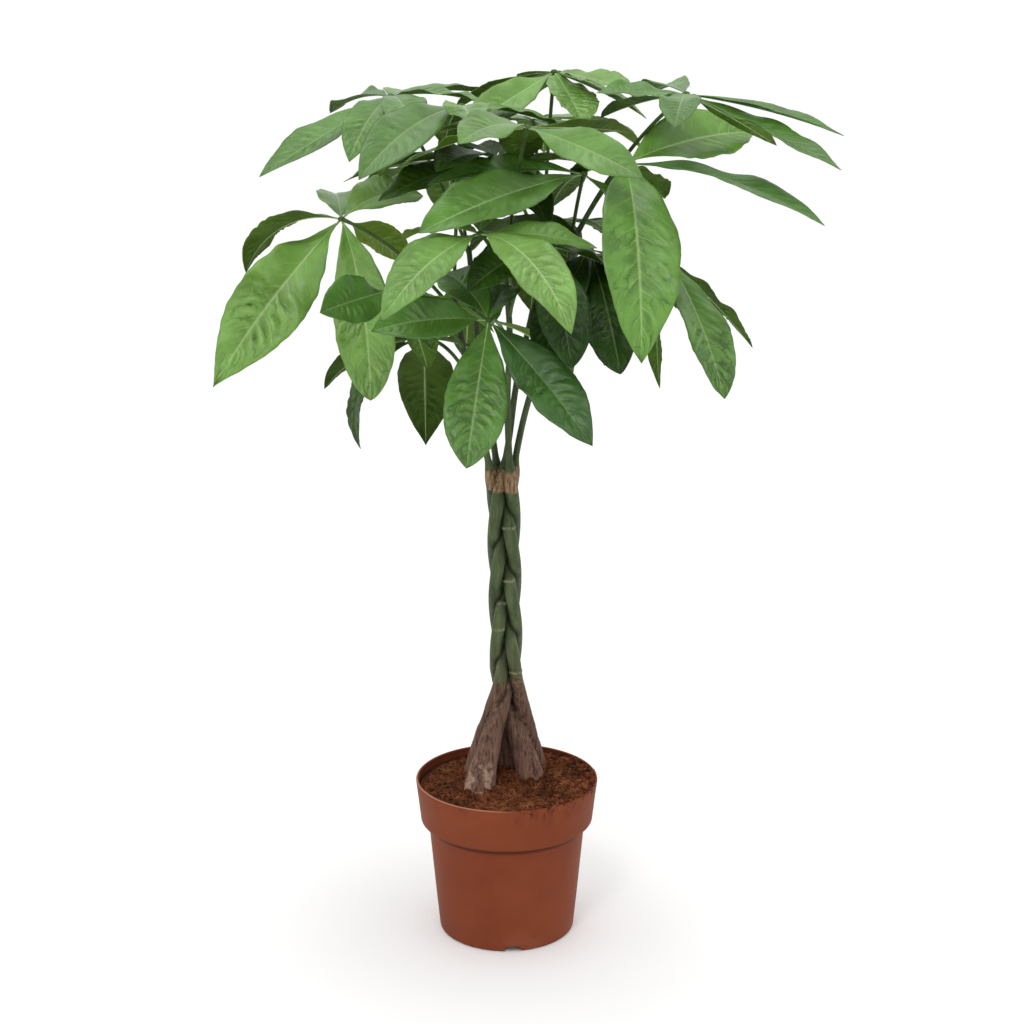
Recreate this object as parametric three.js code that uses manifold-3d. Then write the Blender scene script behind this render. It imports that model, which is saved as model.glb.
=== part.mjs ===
// A potted money tree: five young stems braided together in a 17 cm nursery pot.
// Millimetres, +Z up. The origin is on the pot's axis, at the height of the surface it stands on.
// -Y is the front, the side that the plant is seen from, and +X is to the right.
import * as THREE from "three";
import { mergeVertices } from "three/addons/utils/BufferGeometryUtils.js";
import Module from "manifold-3d";

const wasm = await Module();
wasm.setup();

// ---- Driving dimensions ----

const clearance = 0.3; // gap between neighbours that touch

const potHeight = 149;
const rimRadius = 85;
const bandFootRadius = 80.6; // the rim band tapers down to this
const bandHeight = 39;
const shoulderHeight = 7;
const wallTopRadius = 73;
const baseRadius = 63.5;
const potWall = 1.7;
const potSegments = 32;
const rimLip = 2.6; // the rolled edge is thicker than the wall
const floorHeight = 5.5; // the floor stands this far off the surface
const cornerRadius = 3; // round the foot of the wall
const lipBevel = 0.8;
const footRingInside = 57.7;
const footRingSlant = 0.8;
const notchCount = 3;
const notchDepth = 20;
const notchWidth = 20;
const notchTopWidth = 13;
const cutterOverlap = 1; // how far a notch's cutter starts below the foot ring
const frontNotchAngle = -85;
const drainHoleRadius = 5;
const drainHoleCircle = 38;
const holeSides = 8;

const soilLevel = 144.5;
const soilTilt = 6; // the soil is this much lower at the back left than in the middle
const soilMound = 5; // and this much higher round the roots
const moundCentreY = 10;
const moundReach = 26; // how far out the mound falls off
const soilLumps = 0.9;
const soilEdgeDepth = 6; // the soil draws away from the wall over this depth

const braidRadiusX = 9.5; // the stems weave in a figure of eight, seen from above
const braidRadiusY = 13;
const braidPeriod = 275; // height in which one stem comes back to its place
const braidPhaseHeight = 305; // height at which the phases below hold
const braidBottom = 248;
const braidTop = 432;
const braidLean = -3; // the top of the braid leans this far to the left
const stemRadius = 5.9;
const ringRadius = 6.3; // the woody ring on top of each braided stem
const shootRadius = 3;
const shootTipRadius = 2.4;
const rootDepth = 92;
const rootSpread = 1.15; // the root's end lies further out than the foot
const rootTaper = 0.85;
const swellingPower = 0.7; // below 1, so the foot narrows quickly at first
const ringRise = 20; // height in which a stem widens to its ring
const ringTop = 436;
const shootFlare = 22; // height in which a shoot narrows down from its ring
const shootLength = 220;
const stemSides = 8;

const bladeThickness = 1;
const bladeFold = 13; // degrees that each half of a leaflet stands up from its midrib
const stalkRadius = 1.9;
const stalkSides = 6;
const hubRadius = 5.6;
const probeThickness = 4.5; // room that a leaflet keeps to what was placed before it
const shownStations = [0, 0.15, 0.36, 0.62, 0.86, 1]; // where a blade has its cross sections
const fillingStations = [0, 0.15, 0.45, 0.8, 1];
const outerPart = 0.18; // from here on a leaflet stays clear of the others of its own leaf
const bladeInset = 2.6; // a blade starts this far out from the middle of its hub
const bladeWidest = 0.55;
const leastFootHalfWidth = 1.1;
const leastTipHalfWidth = 0.6;
const turnLength = 0.35; // the part of a blade over which its roll builds up

// ---- Colours ----

const terracotta = { color: 0x8f4a30, roughness: 0.55, metalness: 0 };
const coir = { color: 0x4a2517, roughness: 1, metalness: 0 };
const stemGreen = { color: 0x4c5a33, roughness: 0.7, metalness: 0 };
const leafGreens = [
  { color: 0x3f7a2c, roughness: 0.42, metalness: 0 },
  { color: 0x2f6526, roughness: 0.4, metalness: 0 },
  { color: 0x4c8a38, roughness: 0.45, metalness: 0 },
];

// ---- The five stems ----
// phase: place in the braid at braidPhaseHeight. foot: where the stem enters the soil.
// shoot: points of the green shoot above the braid.

const trunks = [
  { name: "trunk_1", phase: 144, foot: [-28, 24], footRadius: 13.5,
    shoot: [[-12, 9, 470], [-24, 30, 545], [-34, 46, 640]] },
  { name: "trunk_2", phase: 288, foot: [-25, -18], footRadius: 15.5,
    shoot: [[11, 5, 470], [21, 4, 512], [44, -4, 580], [58, -12, 655]] },
  { name: "trunk_3", phase: 216, foot: [23, 2], footRadius: 14,
    shoot: [[2, -8, 470], [1, -9, 512], [3, -26, 575], [-2, -48, 640]] },
  { name: "trunk_4", phase: 0, foot: [25, 31], footRadius: 13.5,
    shoot: [[2, 6, 470], [9, 19, 520], [25, 46, 590], [34, 66, 655]] },
  { name: "trunk_5", phase: 72, foot: [-1, 29], footRadius: 13,
    shoot: [[-19, -7, 467], [-32, -10, 525], [-47, -8, 610]] },
];

// ---- The leaves ----
// hub: where the leaflets meet. trunk: the stem that bears the leaf, joined at height joint.
// lift: how far the stalk arches above the straight line to the hub.
// A leaflet is [azimuth, slope, span, arch, width, roll, point]: the direction from the hub, 0 to the right
// and -90 to the front; how steeply its tip lies below the hub; the distance to the tip; how much the
// midrib bends on the way; the greatest width; how far the blade turns about its midrib, left edge up; and,
// where it isn't 1, how pointed the tip is.
// shown are the leaflets that the front view shows, filling those that it mostly hides.

const leaves = [
  { name: "leaf_a", hub: [-147, 36, 666], trunk: 4, joint: 588, lift: 10, green: 2,
    shown: [
      [-155, 49, 186, 14, 66, -72, 1.2], [-68, 64, 166, 55, 54, 27, 0.75], [172, 30, 100, 80, 52, 16],
      [21, 36, 74, 18, 46, -34], [49, -6, 104, 44, 49, 28],
    ],
    filling: [[98, -6, 100, 30, 40, 0]] },
  { name: "leaf_f", hub: [98, -90, 726], trunk: 1, joint: 646, lift: 0, green: 0,
    shown: [
      [-86, 50, 187, 72, 67, -12], [47, -7, 149, 18, 58, 38], [-39, 11, 192, 28, 37, 5],
      [60, 25, 82, 8, 34, 0],
    ],
    filling: [[100, 18, 90, 20, 36, 0], [140, 16, 112, 30, 40, 0]] },
  { name: "leaf_i", hub: [-14, -150, 606], trunk: 2, joint: 560, lift: 10, green: 0,
    shown: [[-100, 47, 136, 10, 52, -18, 0.8], [-46, 36, 143, 12, 46, 30], [-148, 0, 105, 20, 44, -45]],
    filling: [[113, -14, 100, 30, 40, -20], [80, -19, 90, 20, 36, 0], [35, 26, 110, 30, 42, 0]] },
  { name: "leaf_g", hub: [-21, -150, 676], trunk: 2, joint: 606, lift: 10, green: 2,
    shown: [
      [-56, 27, 140, 60, 44, 20], [-125, 23, 135, 35, 40, -25], [-158, 18, 82, 15, 34, -35],
      [16, 9, 98, 20, 33, 25],
    ],
    filling: [[125, 9, 115, 30, 40, -10], [88, 0, 95, 30, 38, 0], [58, 20, 95, 20, 36, 0]] },
  { name: "leaf_e", hub: [17, -110, 757], trunk: 2, joint: 632, lift: 0, green: 2,
    shown: [[-49, 13, 136, 10, 36, 45], [-118, 3, 110, 30, 40, -20], [51, 5, 145, 6, 28, -25]],
    filling: [[130, 2, 120, 20, 38, -8], [85, 27, 105, 30, 42, 0], [172, 12, 105, 20, 36, 0]] },
  { name: "leaf_h", hub: [65, -70, 716], trunk: 1, joint: 628, lift: 0, green: 0,
    shown: [[-141, 12, 173, 14, 56, -30]],
    filling: [[175, 5, 130, 30, 40, -20], [105, 2, 105, 30, 38, 0], [-8, 26, 100, 20, 42, 0]] },
  { name: "leaf_k", hub: [-38, -30, 769], trunk: 4, joint: 606, lift: 0, green: 2,
    shown: [[-119, 17, 165, 30, 45, -30]],
    filling: [
      [-84, 30, 90, 20, 40, 0], [150, 20, 112, 30, 42, 0], [100, 22, 110, 30, 42, 0],
      [8, 17, 85, 20, 34, 0], [-150, 28, 95, 20, 38, -20],
    ] },
  { name: "leaf_c", hub: [42, 40, 794], trunk: 3, joint: 652, lift: 0, green: 2,
    shown: [[-135, 17, 120, 3, 36, -38], [59, 13, 114, 8, 28, 35], [-74, 30, 92, 10, 46, -10]],
    filling: [
      [-42, 20, 88, 15, 38, 10], [-8, 26, 88, 15, 36, 0], [100, 14, 130, 20, 42, 0],
      [150, 20, 108, 20, 40, 0],
    ] },
  { name: "leaf_b", hub: [-103, 60, 772], trunk: 0, joint: 634, lift: 0, green: 0,
    shown: [
      [-132, 21, 165, 4, 38, -12], [-104, 22, 126, 30, 38, -10], [124, 11, 110, 25, 34, -12],
      [-76, 26, 116, 40, 40, 10],
    ],
    filling: [[91, 0, 72, 10, 28, 0], [35, 7, 118, 20, 38, 0], [-30, 8, 98, 25, 36, 0]] },
  { name: "leaf_d", hub: [148, -82, 782], trunk: 1, joint: 653, lift: 6, green: 0,
    shown: [
      [-28, 12, 137, 12, 30, 0], [-45, 18, 164, 6, 34, 0], [41, 28, 120, 6, 24, -20],
      [187, -1, 72, 6, 30, -20],
    ],
    filling: [[102, 4, 112, 30, 38, 0], [-100, 14, 88, 30, 34, 0], [140, 14, 100, 15, 38, 0]] },
  { name: "leaf_o", hub: [141, -10, 637], trunk: 1, joint: 600, lift: 14, green: 0,
    shown: [[-68, 43, 150, 27, 48, -10, 0.85], [33, 42, 130, 10, 29, 4], [118, 86, 115, 40, 22, -20]],
    filling: [[125, 34, 110, 30, 42, 0], [165, 20, 90, 30, 38, 0]] },
  { name: "leaf_l", hub: [30, -95, 661], trunk: 2, joint: 590, lift: 10, green: 1,
    shown: [[-79, 36, 140, 30, 46, 0, 0.75]],
    filling: [
      [95, 42, 118, 30, 42, 0], [60, 30, 100, 30, 38, 0], [0, 28, 90, 20, 36, 0],
      [-155, 12, 85, 20, 38, -35],
    ] },
  { name: "leaf_j", hub: [71, -60, 652], trunk: 1, joint: 612, lift: 24, green: 1,
    shown: [[-78, 40, 135, 20, 46, 20, 0.75], [-112, 37, 142, 30, 44, 0], [128, -4, 119, 50, 36, -22]],
    filling: [[76, 59, 130, 30, 42, 0], [25, 34, 100, 30, 38, 0]] },
  { name: "leaf_n", hub: [-97, -66, 618], trunk: 4, joint: 560, lift: 14, green: 0,
    shown: [[-130, 6, 84, 5, 44, -60]],
    filling: [[75, 50, 105, 30, 38, 0], [30, 30, 100, 30, 38, 0], [-60, 30, 80, 30, 34, 0]] },
  { name: "leaf_m", hub: [-74, 20, 561], trunk: 4, joint: 532, lift: 14, green: 1,
    shown: [[92, 55, 141, 39, 55, 7, 1.15], [178, 61, 116, 96, 30, -35], [152, 28, 119, 45, 38, 15]],
    filling: [[112, 20, 100, 30, 42, 0], [25, 22, 90, 30, 40, 0]] },
  { name: "leaf_q", hub: [-9, 10, 721], trunk: 3, joint: 634, lift: 0, green: 1,
    shown: [],
    filling: [
      [-127, 10, 130, 30, 40, -10], [111, 2, 120, 30, 40, 0], [61, 8, 118, 30, 40, 0],
      [-20, 14, 105, 20, 38, 0], [-70, 16, 105, 20, 38, 0], [-165, 18, 108, 20, 42, -20],
      [170, 4, 110, 20, 38, 0],
    ] },
  { name: "leaf_r", hub: [-55, 125, 705], trunk: 0, joint: 620, lift: 10, green: 0,
    shown: [],
    filling: [
      [90, 30, 142, 40, 50, 0], [135, 20, 125, 40, 46, 0], [45, 20, 130, 40, 46, 0],
      [-5, 10, 100, 30, 40, 0], [175, 14, 95, 30, 40, 0], [-60, 14, 100, 20, 42, 0],
    ] },
  { name: "leaf_s", hub: [48, 130, 655], trunk: 3, joint: 610, lift: 12, green: 1,
    shown: [],
    filling: [
      [90, 34, 145, 40, 52, 0], [45, 26, 130, 40, 46, 0], [135, 20, 125, 40, 46, 0],
      [5, 20, 95, 30, 40, 0], [-130, 18, 100, 20, 40, 0],
    ] },
  { name: "leaf_t", hub: [-32, 138, 606], trunk: 0, joint: 585, lift: 14, green: 0,
    shown: [],
    filling: [
      [95, 45, 150, 40, 52, 0], [40, 35, 135, 40, 48, 0], [150, 32, 120, 40, 46, 0],
      [-150, 20, 80, 30, 36, 0], [-80, 24, 100, 20, 40, 0],
    ] },
  { name: "leaf_u", hub: [25, 120, 746], trunk: 3, joint: 640, lift: 6, green: 2,
    shown: [],
    filling: [
      [85, 17, 138, 40, 48, 0], [35, 14, 128, 40, 44, 0], [140, 14, 120, 40, 44, 0],
      [-170, 8, 85, 30, 38, 0], [-80, 10, 95, 20, 40, 0],
    ] },
];

// ---- Solids ----

const radians = THREE.MathUtils.degToRad;
const smoothstep = THREE.MathUtils.smoothstep;
const lerp = THREE.MathUtils.lerp;

// A closed three.js geometry as a solid that can be joined and cut.
function solidOf(geometry) {
  const bare = geometry.clone();
  bare.deleteAttribute("normal");
  bare.deleteAttribute("uv");
  const merged = mergeVertices(bare, 1e-4);
  return new wasm.Manifold(
    new wasm.Mesh({
      numProp: 3,
      vertProperties: merged.attributes.position.array,
      triVerts: new Uint32Array(merged.index.array),
    }),
  );
}

// The largest body of a solid, without the loose scraps that a cut can leave.
function mainBody(solid) {
  const bodies = solid.decompose();
  bodies.sort((a, b) => b.volume() - a.volume());
  return bodies[0];
}

function meshOf(name, solid, material) {
  const { vertProperties, triVerts } = solid.getMesh();
  const geometry = new THREE.BufferGeometry();
  geometry.setAttribute("position", new THREE.BufferAttribute(vertProperties, 3));
  geometry.setIndex(new THREE.BufferAttribute(triVerts, 1));
  geometry.computeVertexNormals();
  const mesh = new THREE.Mesh(geometry, new THREE.MeshStandardMaterial(material));
  mesh.name = name;
  return mesh;
}

// A closed skin over rings of points, each ring turning to the left round the way forward. The second
// half of a ring is split the other way, so a flat ring's two faces are split alike.
function loft(rings) {
  const count = rings[0].length;
  const points = rings.flat();
  const faces = [];
  for (let i = 0; i + 1 < rings.length; i++) {
    for (let j = 0; j < count; j++) {
      const a = i * count + j;
      const b = i * count + ((j + 1) % count);
      const c = b + count;
      const d = a + count;
      if (j < count / 2) faces.push(a, b, c, a, c, d);
      else faces.push(a, b, d, b, c, d);
    }
  }
  const last = (rings.length - 1) * count;
  for (let j = 0; j < count / 2 - 1; j++) {
    const opposite = count - 1 - j;
    faces.push(j, opposite, j + 1, opposite, opposite - 1, j + 1);
    faces.push(last + j, last + j + 1, last + opposite);
    faces.push(last + opposite, last + j + 1, last + opposite - 1);
  }
  const geometry = new THREE.BufferGeometry().setFromPoints(points);
  geometry.setIndex(faces);
  return geometry;
}

// A round limb along a curve, with a ring at each fraction of its length and its radius by height.
function limb(curve, fractions, sides, radiusAt) {
  const rings = [];
  const across = new THREE.Vector3(1, 0, 0);
  for (const fraction of fractions) {
    const centre = curve.getPointAt(fraction);
    const forward = curve.getTangentAt(fraction);
    across.addScaledVector(forward, -across.dot(forward)).normalize();
    const other = forward.clone().cross(across);
    const radius = radiusAt(centre.z);
    const ring = [];
    for (let j = 0; j < sides; j++) {
      const angle = (2 * Math.PI * j) / sides;
      const point = centre.clone();
      point.addScaledVector(across, radius * Math.cos(angle));
      point.addScaledVector(other, radius * Math.sin(angle));
      ring.push(point);
    }
    rings.push(ring);
  }
  return solidOf(loft(rings));
}

// The fraction of a rising curve's length at which it reaches a height.
function fractionAt(curve, height) {
  let low = 0;
  let high = 1;
  const halvings = 14;
  for (let i = 0; i < halvings; i++) {
    const middle = (low + high) / 2;
    if (curve.getPointAt(middle).z < height) low = middle;
    else high = middle;
  }
  return (low + high) / 2;
}

// ---- Pot ----

const bandFootHeight = potHeight - bandHeight;
const wallTopHeight = bandFootHeight - shoulderHeight;

// The wall's outer radius at a height, without the rolled lip.
function potRadius(height) {
  if (height > bandFootHeight) {
    return lerp(bandFootRadius, rimRadius, (height - bandFootHeight) / bandHeight);
  }
  if (height > wallTopHeight) {
    return lerp(wallTopRadius, bandFootRadius, smoothstep(height, wallTopHeight, bandFootHeight));
  }
  return lerp(baseRadius, wallTopRadius, height / wallTopHeight);
}

function turned(profile, segments) {
  const points = profile.map(([radius, height]) => new THREE.Vector2(radius, height));
  const geometry = new THREE.LatheGeometry(points, segments);
  geometry.rotateX(Math.PI / 2);
  return geometry;
}

// The foot ring's notches and the drain holes between them.
function potCutters() {
  const notch = new THREE.Shape([
    new THREE.Vector2(-notchWidth / 2, -cutterOverlap),
    new THREE.Vector2(notchWidth / 2, -cutterOverlap),
    new THREE.Vector2(notchTopWidth / 2, floorHeight),
    new THREE.Vector2(-notchTopWidth / 2, floorHeight),
  ]);
  const cutters = [];
  for (let i = 0; i < notchCount; i++) {
    const cutter = new THREE.ExtrudeGeometry(notch, { depth: notchDepth, bevelEnabled: false });
    cutter.rotateX(Math.PI / 2);
    cutter.translate(0, notchDepth / 2 - baseRadius, 0);
    cutter.rotateZ(radians(frontNotchAngle + 90 + (360 * i) / notchCount));
    const hole = new THREE.CylinderGeometry(drainHoleRadius, drainHoleRadius, 3 * floorHeight, holeSides);
    hole.rotateX(Math.PI / 2);
    hole.translate(0, -drainHoleCircle, floorHeight);
    hole.rotateZ(radians(frontNotchAngle + 90 + (360 * (i + 0.5)) / notchCount));
    cutters.push(solidOf(cutter), solidOf(hole));
  }
  return cutters;
}

function makePot() {
  const outside = [];
  const cornerSteps = 2;
  for (let i = 0; i <= cornerSteps; i++) {
    const angle = (Math.PI / 2) * (i / cornerSteps);
    outside.push([
      baseRadius - cornerRadius + cornerRadius * Math.sin(angle),
      cornerRadius - cornerRadius * Math.cos(angle),
    ]);
  }
  const heights = [wallTopHeight, wallTopHeight + shoulderHeight / 2, bandFootHeight];
  for (const height of heights) outside.push([potRadius(height), height]);
  const lip = [
    [rimRadius, potHeight - lipBevel],
    [rimRadius - lipBevel, potHeight],
    [rimRadius - rimLip, potHeight],
    [rimRadius - rimLip, potHeight - rimLip],
  ];
  const inside = [potHeight - 2 * rimLip, bandFootHeight, wallTopHeight]
    .map((height) => [potRadius(height) - potWall, height]);
  const floorTop = floorHeight + potWall;
  const bottom = [
    [potRadius(floorTop) - potWall, floorTop],
    [0, floorTop],
    [0, floorHeight],
    [footRingInside + footRingSlant, floorHeight],
    [footRingInside, 0],
  ];
  const pot = solidOf(turned([...outside, ...lip, ...inside, ...bottom, outside[0]], potSegments));
  return potCutters().reduce((rest, cutter) => rest.subtract(cutter), pot);
}

// ---- Stems ----

// The stem's place in the braid: a figure of eight, gone through once in a braid period.
function braidPoint(phase, height) {
  const turn = radians(phase + (360 * (braidPhaseHeight - height)) / braidPeriod);
  const lean = (braidLean * (height - braidBottom)) / (braidTop - braidBottom);
  return new THREE.Vector3(
    lean + braidRadiusX * Math.sin(turn),
    -braidRadiusY * Math.sin(2 * turn),
    height,
  );
}

function trunkCurve({ phase, foot, shoot }) {
  const [footX, footY] = foot;
  const start = braidPoint(phase, braidBottom);
  const swellingReach = 0.42;
  const swellingRise = 0.45;
  const points = [
    new THREE.Vector3(rootSpread * footX, rootSpread * footY, rootDepth),
    new THREE.Vector3(footX, footY, soilLevel),
    new THREE.Vector3(
      lerp(footX, start.x, swellingReach),
      lerp(footY, start.y, swellingReach),
      lerp(soilLevel, braidBottom, swellingRise),
    ),
  ];
  const braidSteps = 10;
  for (let i = 0; i <= braidSteps; i++) {
    points.push(braidPoint(phase, lerp(braidBottom, braidTop, i / braidSteps)));
  }
  for (const point of shoot) points.push(new THREE.Vector3(...point));
  return new THREE.CatmullRomCurve3(points, false, "centripetal");
}

// The stem's radius at a height: swollen at the soil, even in the braid, thin above its ring.
function trunkRadius(footRadius, height) {
  if (height < soilLevel) {
    return footRadius * lerp(rootTaper, 1, smoothstep(height, rootDepth, soilLevel));
  }
  if (height < braidBottom) {
    const share = (height - soilLevel) / (braidBottom - soilLevel);
    return lerp(footRadius, stemRadius, share ** swellingPower);
  }
  if (height < ringTop) {
    return lerp(stemRadius, ringRadius, smoothstep(height, braidTop - ringRise, braidTop));
  }
  const taper = lerp(shootRadius, shootTipRadius, Math.max(0, height - ringTop - shootFlare) / shootLength);
  return lerp(ringRadius, taper, smoothstep(height, ringTop, ringTop + shootFlare));
}

const trunkCurves = trunks.map(trunkCurve);

// Where a stem has its cross sections, besides its two ends.
const footHeights = [128, soilLevel, 160, 185, 215];
const shootHeights = [438, 447, 458, 500, 550, 595];
const braidRings = 11;
const stemHeights = [...footHeights];
for (let i = 0; i <= braidRings; i++) stemHeights.push(lerp(braidBottom, braidTop, i / braidRings));
stemHeights.push(...shootHeights);

const trunkFractions = trunkCurves.map((curve) => {
  const inside = stemHeights.map((height) => fractionAt(curve, height));
  return [0, ...inside, 1];
});

function trunkLimb(index, extra) {
  const { footRadius } = trunks[index];
  const radiusAt = (height) => trunkRadius(footRadius, height) + extra;
  return limb(trunkCurves[index], trunkFractions[index], stemSides, radiusAt);
}

// Where two stems press together, the later one is hollowed by its neighbour.
function makeTrunks() {
  const made = [];
  trunks.forEach((trunk, index) => {
    let solid = trunkLimb(index, 0);
    for (let earlier = 0; earlier < index; earlier++) {
      solid = solid.subtract(trunkLimb(earlier, clearance));
    }
    made.push(mainBody(solid));
  });
  return made;
}

// ---- Soil ----

// The top of the soil: low at the back left, raised round the roots, with shallow lumps.
function soilHeight(x, y) {
  const tilt = (soilTilt * (x - y)) / (Math.SQRT2 * rimRadius);
  const mound = soilMound * Math.exp(-(x * x + (y - moundCentreY) ** 2) / (2 * moundReach ** 2));
  const wide = Math.sin(0.19 * x + 0.7) * Math.sin(0.23 * y + 1.9);
  const narrow = Math.sin(0.41 * x - 0.33 * y);
  return soilLevel + tilt + mound + soilLumps * (wide + (2 / 3) * narrow);
}

function makeSoil() {
  const bottom = floorHeight + potWall + clearance;
  const edge = (height) => potRadius(height) - potWall - clearance;
  const wallHeights = [bottom, wallTopHeight, bandFootHeight];
  const profile = [[0, bottom], ...wallHeights.map((height) => [edge(height), height])];
  const shoulder = soilLevel - soilEdgeDepth;
  profile.push([edge(shoulder) - clearance, shoulder]);
  const rings = 4;
  const topEdge = edge(shoulder) - 2 * clearance;
  for (let i = rings; i >= 0; i--) profile.push([(topEdge * i) / rings, soilLevel]);
  const geometry = turned(profile, potSegments);
  const position = geometry.attributes.position;
  for (let i = 0; i < position.count; i++) {
    if (position.getZ(i) < (shoulder + soilLevel) / 2) continue;
    position.setZ(i, soilHeight(position.getX(i), position.getY(i)));
  }
  let soil = solidOf(geometry);
  for (let index = 0; index < trunks.length; index++) {
    soil = soil.subtract(trunkLimb(index, clearance));
  }
  return mainBody(soil);
}

// ---- Leaves ----

// Half the blade's width at a fraction of its length: a narrow foot and widest past the middle.
function bladeHalfWidth(width, point, t) {
  const fullness = bladeWidest / (1 - bladeWidest);
  const widest = fullness / (fullness + point);
  const shape = (t ** fullness * (1 - t) ** point) / (widest ** fullness * (1 - widest) ** point);
  const least = t < bladeWidest ? leastFootHalfWidth : leastTipHalfWidth;
  return Math.max(least, (width / 2) * shape);
}

function direction(heading, rise) {
  return new THREE.Vector3(
    Math.cos(rise) * Math.cos(heading),
    Math.cos(rise) * Math.sin(heading),
    Math.sin(rise),
  );
}

// Points, side vectors and up vectors along a midrib: a round arc in an upright plane.
function midrib(hub, [azimuth, slope, span, arch, , roll], stations) {
  const heading = radians(azimuth);
  const bend = radians(arch);
  const radius = span / 2 / Math.sin(bend / 2);
  const firstRise = bend / 2 - radians(slope);
  const level = new THREE.Vector3(-Math.sin(heading), Math.cos(heading), 0);
  const outward = new THREE.Vector3(Math.cos(heading), Math.sin(heading), 0);
  const start = new THREE.Vector3(...hub).addScaledVector(direction(heading, firstRise), bladeInset);
  return stations.map((t) => {
    const rise = firstRise - bend * t;
    const centre = start.clone().addScaledVector(outward, radius * (Math.sin(firstRise) - Math.sin(rise)));
    centre.z += radius * (Math.cos(rise) - Math.cos(firstRise));
    const along = direction(heading, rise);
    const side = level.clone().applyAxisAngle(along, radians(roll) * smoothstep(t, 0, turnLength));
    return { t, centre, side, up: along.clone().cross(side) };
  });
}

function blade(hub, leaflet, thickness, stations) {
  const [, , , , width, , point = 1] = leaflet;
  const rings = midrib(hub, leaflet, stations).map(({ t, centre, side, up }) => {
    const half = bladeHalfWidth(width, point, t);
    const out = half * Math.cos(radians(bladeFold));
    const lift = half * Math.sin(radians(bladeFold));
    const across = [[out, lift], [0, 0], [-out, lift]];
    const at = ([s, u], offset) =>
      centre.clone().addScaledVector(side, s).addScaledVector(up, u + offset);
    return [
      ...across.map((place) => at(place, thickness / 2)),
      ...across.reverse().map((place) => at(place, -thickness / 2)),
    ];
  });
  return solidOf(loft(rings));
}

// Small changes that bend a leaflet clear of what is in its way, the smallest first.
const bends = [];
const slopeStep = 5;
const azimuthStep = 8;
for (let slopeSteps = -8; slopeSteps <= 8; slopeSteps++) {
  for (let azimuthSteps = -4; azimuthSteps <= 4; azimuthSteps++) {
    bends.push([azimuthStep * azimuthSteps, slopeStep * slopeSteps]);
  }
}
bends.sort((a, b) => Math.hypot(...a) - Math.hypot(...b));

const placed = []; // what a leaflet stays clear of: each solid with its box and the name of its piece

function place(solid, owner) {
  placed.push({ solid, owner, box: solid.boundingBox() });
}

function boxesMeet(a, b) {
  return [0, 1, 2].every((axis) => a.min[axis] < b.max[axis] && b.min[axis] < a.max[axis]);
}

function isClear(solid, neighbours) {
  const box = solid.boundingBox();
  return neighbours.every((other) => !boxesMeet(box, other.box) || solid.intersect(other.solid).isEmpty());
}

// The leaflet as it grows past its neighbours, or null where there is no room for it. The foot of a
// leaflet may touch the other leaflets of its own leaf.
function bentClear({ name, hub }, leaflet, stations) {
  const outerStations = [outerPart, ...stations.filter((t) => t > outerPart)];
  const others = placed.filter(({ owner }) => owner !== name);
  const siblings = placed.filter(({ owner }) => owner === name);
  for (const [azimuthChange, slopeChange] of bends) {
    const [azimuth, slope, ...rest] = leaflet;
    const bent = [azimuth + azimuthChange, slope + slopeChange, ...rest];
    if (!isClear(blade(hub, bent, probeThickness, outerStations), siblings)) continue;
    if (isClear(blade(hub, bent, probeThickness, stations), others)) return bent;
  }
  return null;
}

function stalkCurve({ hub, trunk, joint, lift }) {
  const curve = trunkCurves[trunk];
  const start = curve.getPointAt(fractionAt(curve, joint));
  const end = new THREE.Vector3(...hub);
  const bowOut = 0.45; // the stalk climbs first and leans out later
  const bowUp = 0.62;
  const middle = new THREE.Vector3(
    lerp(start.x, end.x, bowOut),
    lerp(start.y, end.y, bowOut),
    lerp(start.z, end.z, bowUp) + lift,
  );
  return new THREE.QuadraticBezierCurve3(start, middle, end);
}

function makeStalk(leaf) {
  const stalk = limb(stalkCurve(leaf), [0, 0.25, 0.5, 0.75, 1], stalkSides, () => stalkRadius);
  const knuckle = new THREE.OctahedronGeometry(hubRadius, 0);
  knuckle.translate(...leaf.hub);
  return stalk.add(solidOf(knuckle)).subtract(trunkLimb(leaf.trunk, clearance));
}

function makeLeaves(trunkSolids) {
  trunkSolids.forEach((solid, index) => place(solid, trunks[index].name));
  const grown = leaves.map((leaf) => ({ leaf, parts: [mainBody(makeStalk(leaf))] }));
  grown.forEach(({ leaf, parts }) => place(parts[0], leaf.name));
  for (const [kind, stations] of [["shown", shownStations], ["filling", fillingStations]]) {
    for (const { leaf, parts } of grown) {
      for (const leaflet of leaf[kind]) {
        const bent = bentClear(leaf, leaflet, stations);
        if (!bent) continue;
        const solid = blade(leaf.hub, bent, bladeThickness, stations);
        parts.push(solid);
        place(solid, leaf.name);
      }
    }
  }
  return grown.map(({ leaf, parts }) => {
    const whole = parts.reduce((sum, part) => sum.add(part));
    return meshOf(leaf.name, mainBody(whole), leafGreens[leaf.green]);
  });
}

// ---- Assembly ----

const trunkSolids = makeTrunks();
const plant = new THREE.Group();
plant.add(meshOf("pot", makePot(), terracotta));
plant.add(meshOf("soil", makeSoil(), coir));
trunks.forEach((trunk, index) => plant.add(meshOf(trunk.name, trunkSolids[index], stemGreen)));
plant.add(...makeLeaves(trunkSolids));

export default plant;
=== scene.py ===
import bpy
import bmesh
import math
import random
from mathutils import Matrix, Vector, noise
from mathutils.bvhtree import BVHTree


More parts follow.
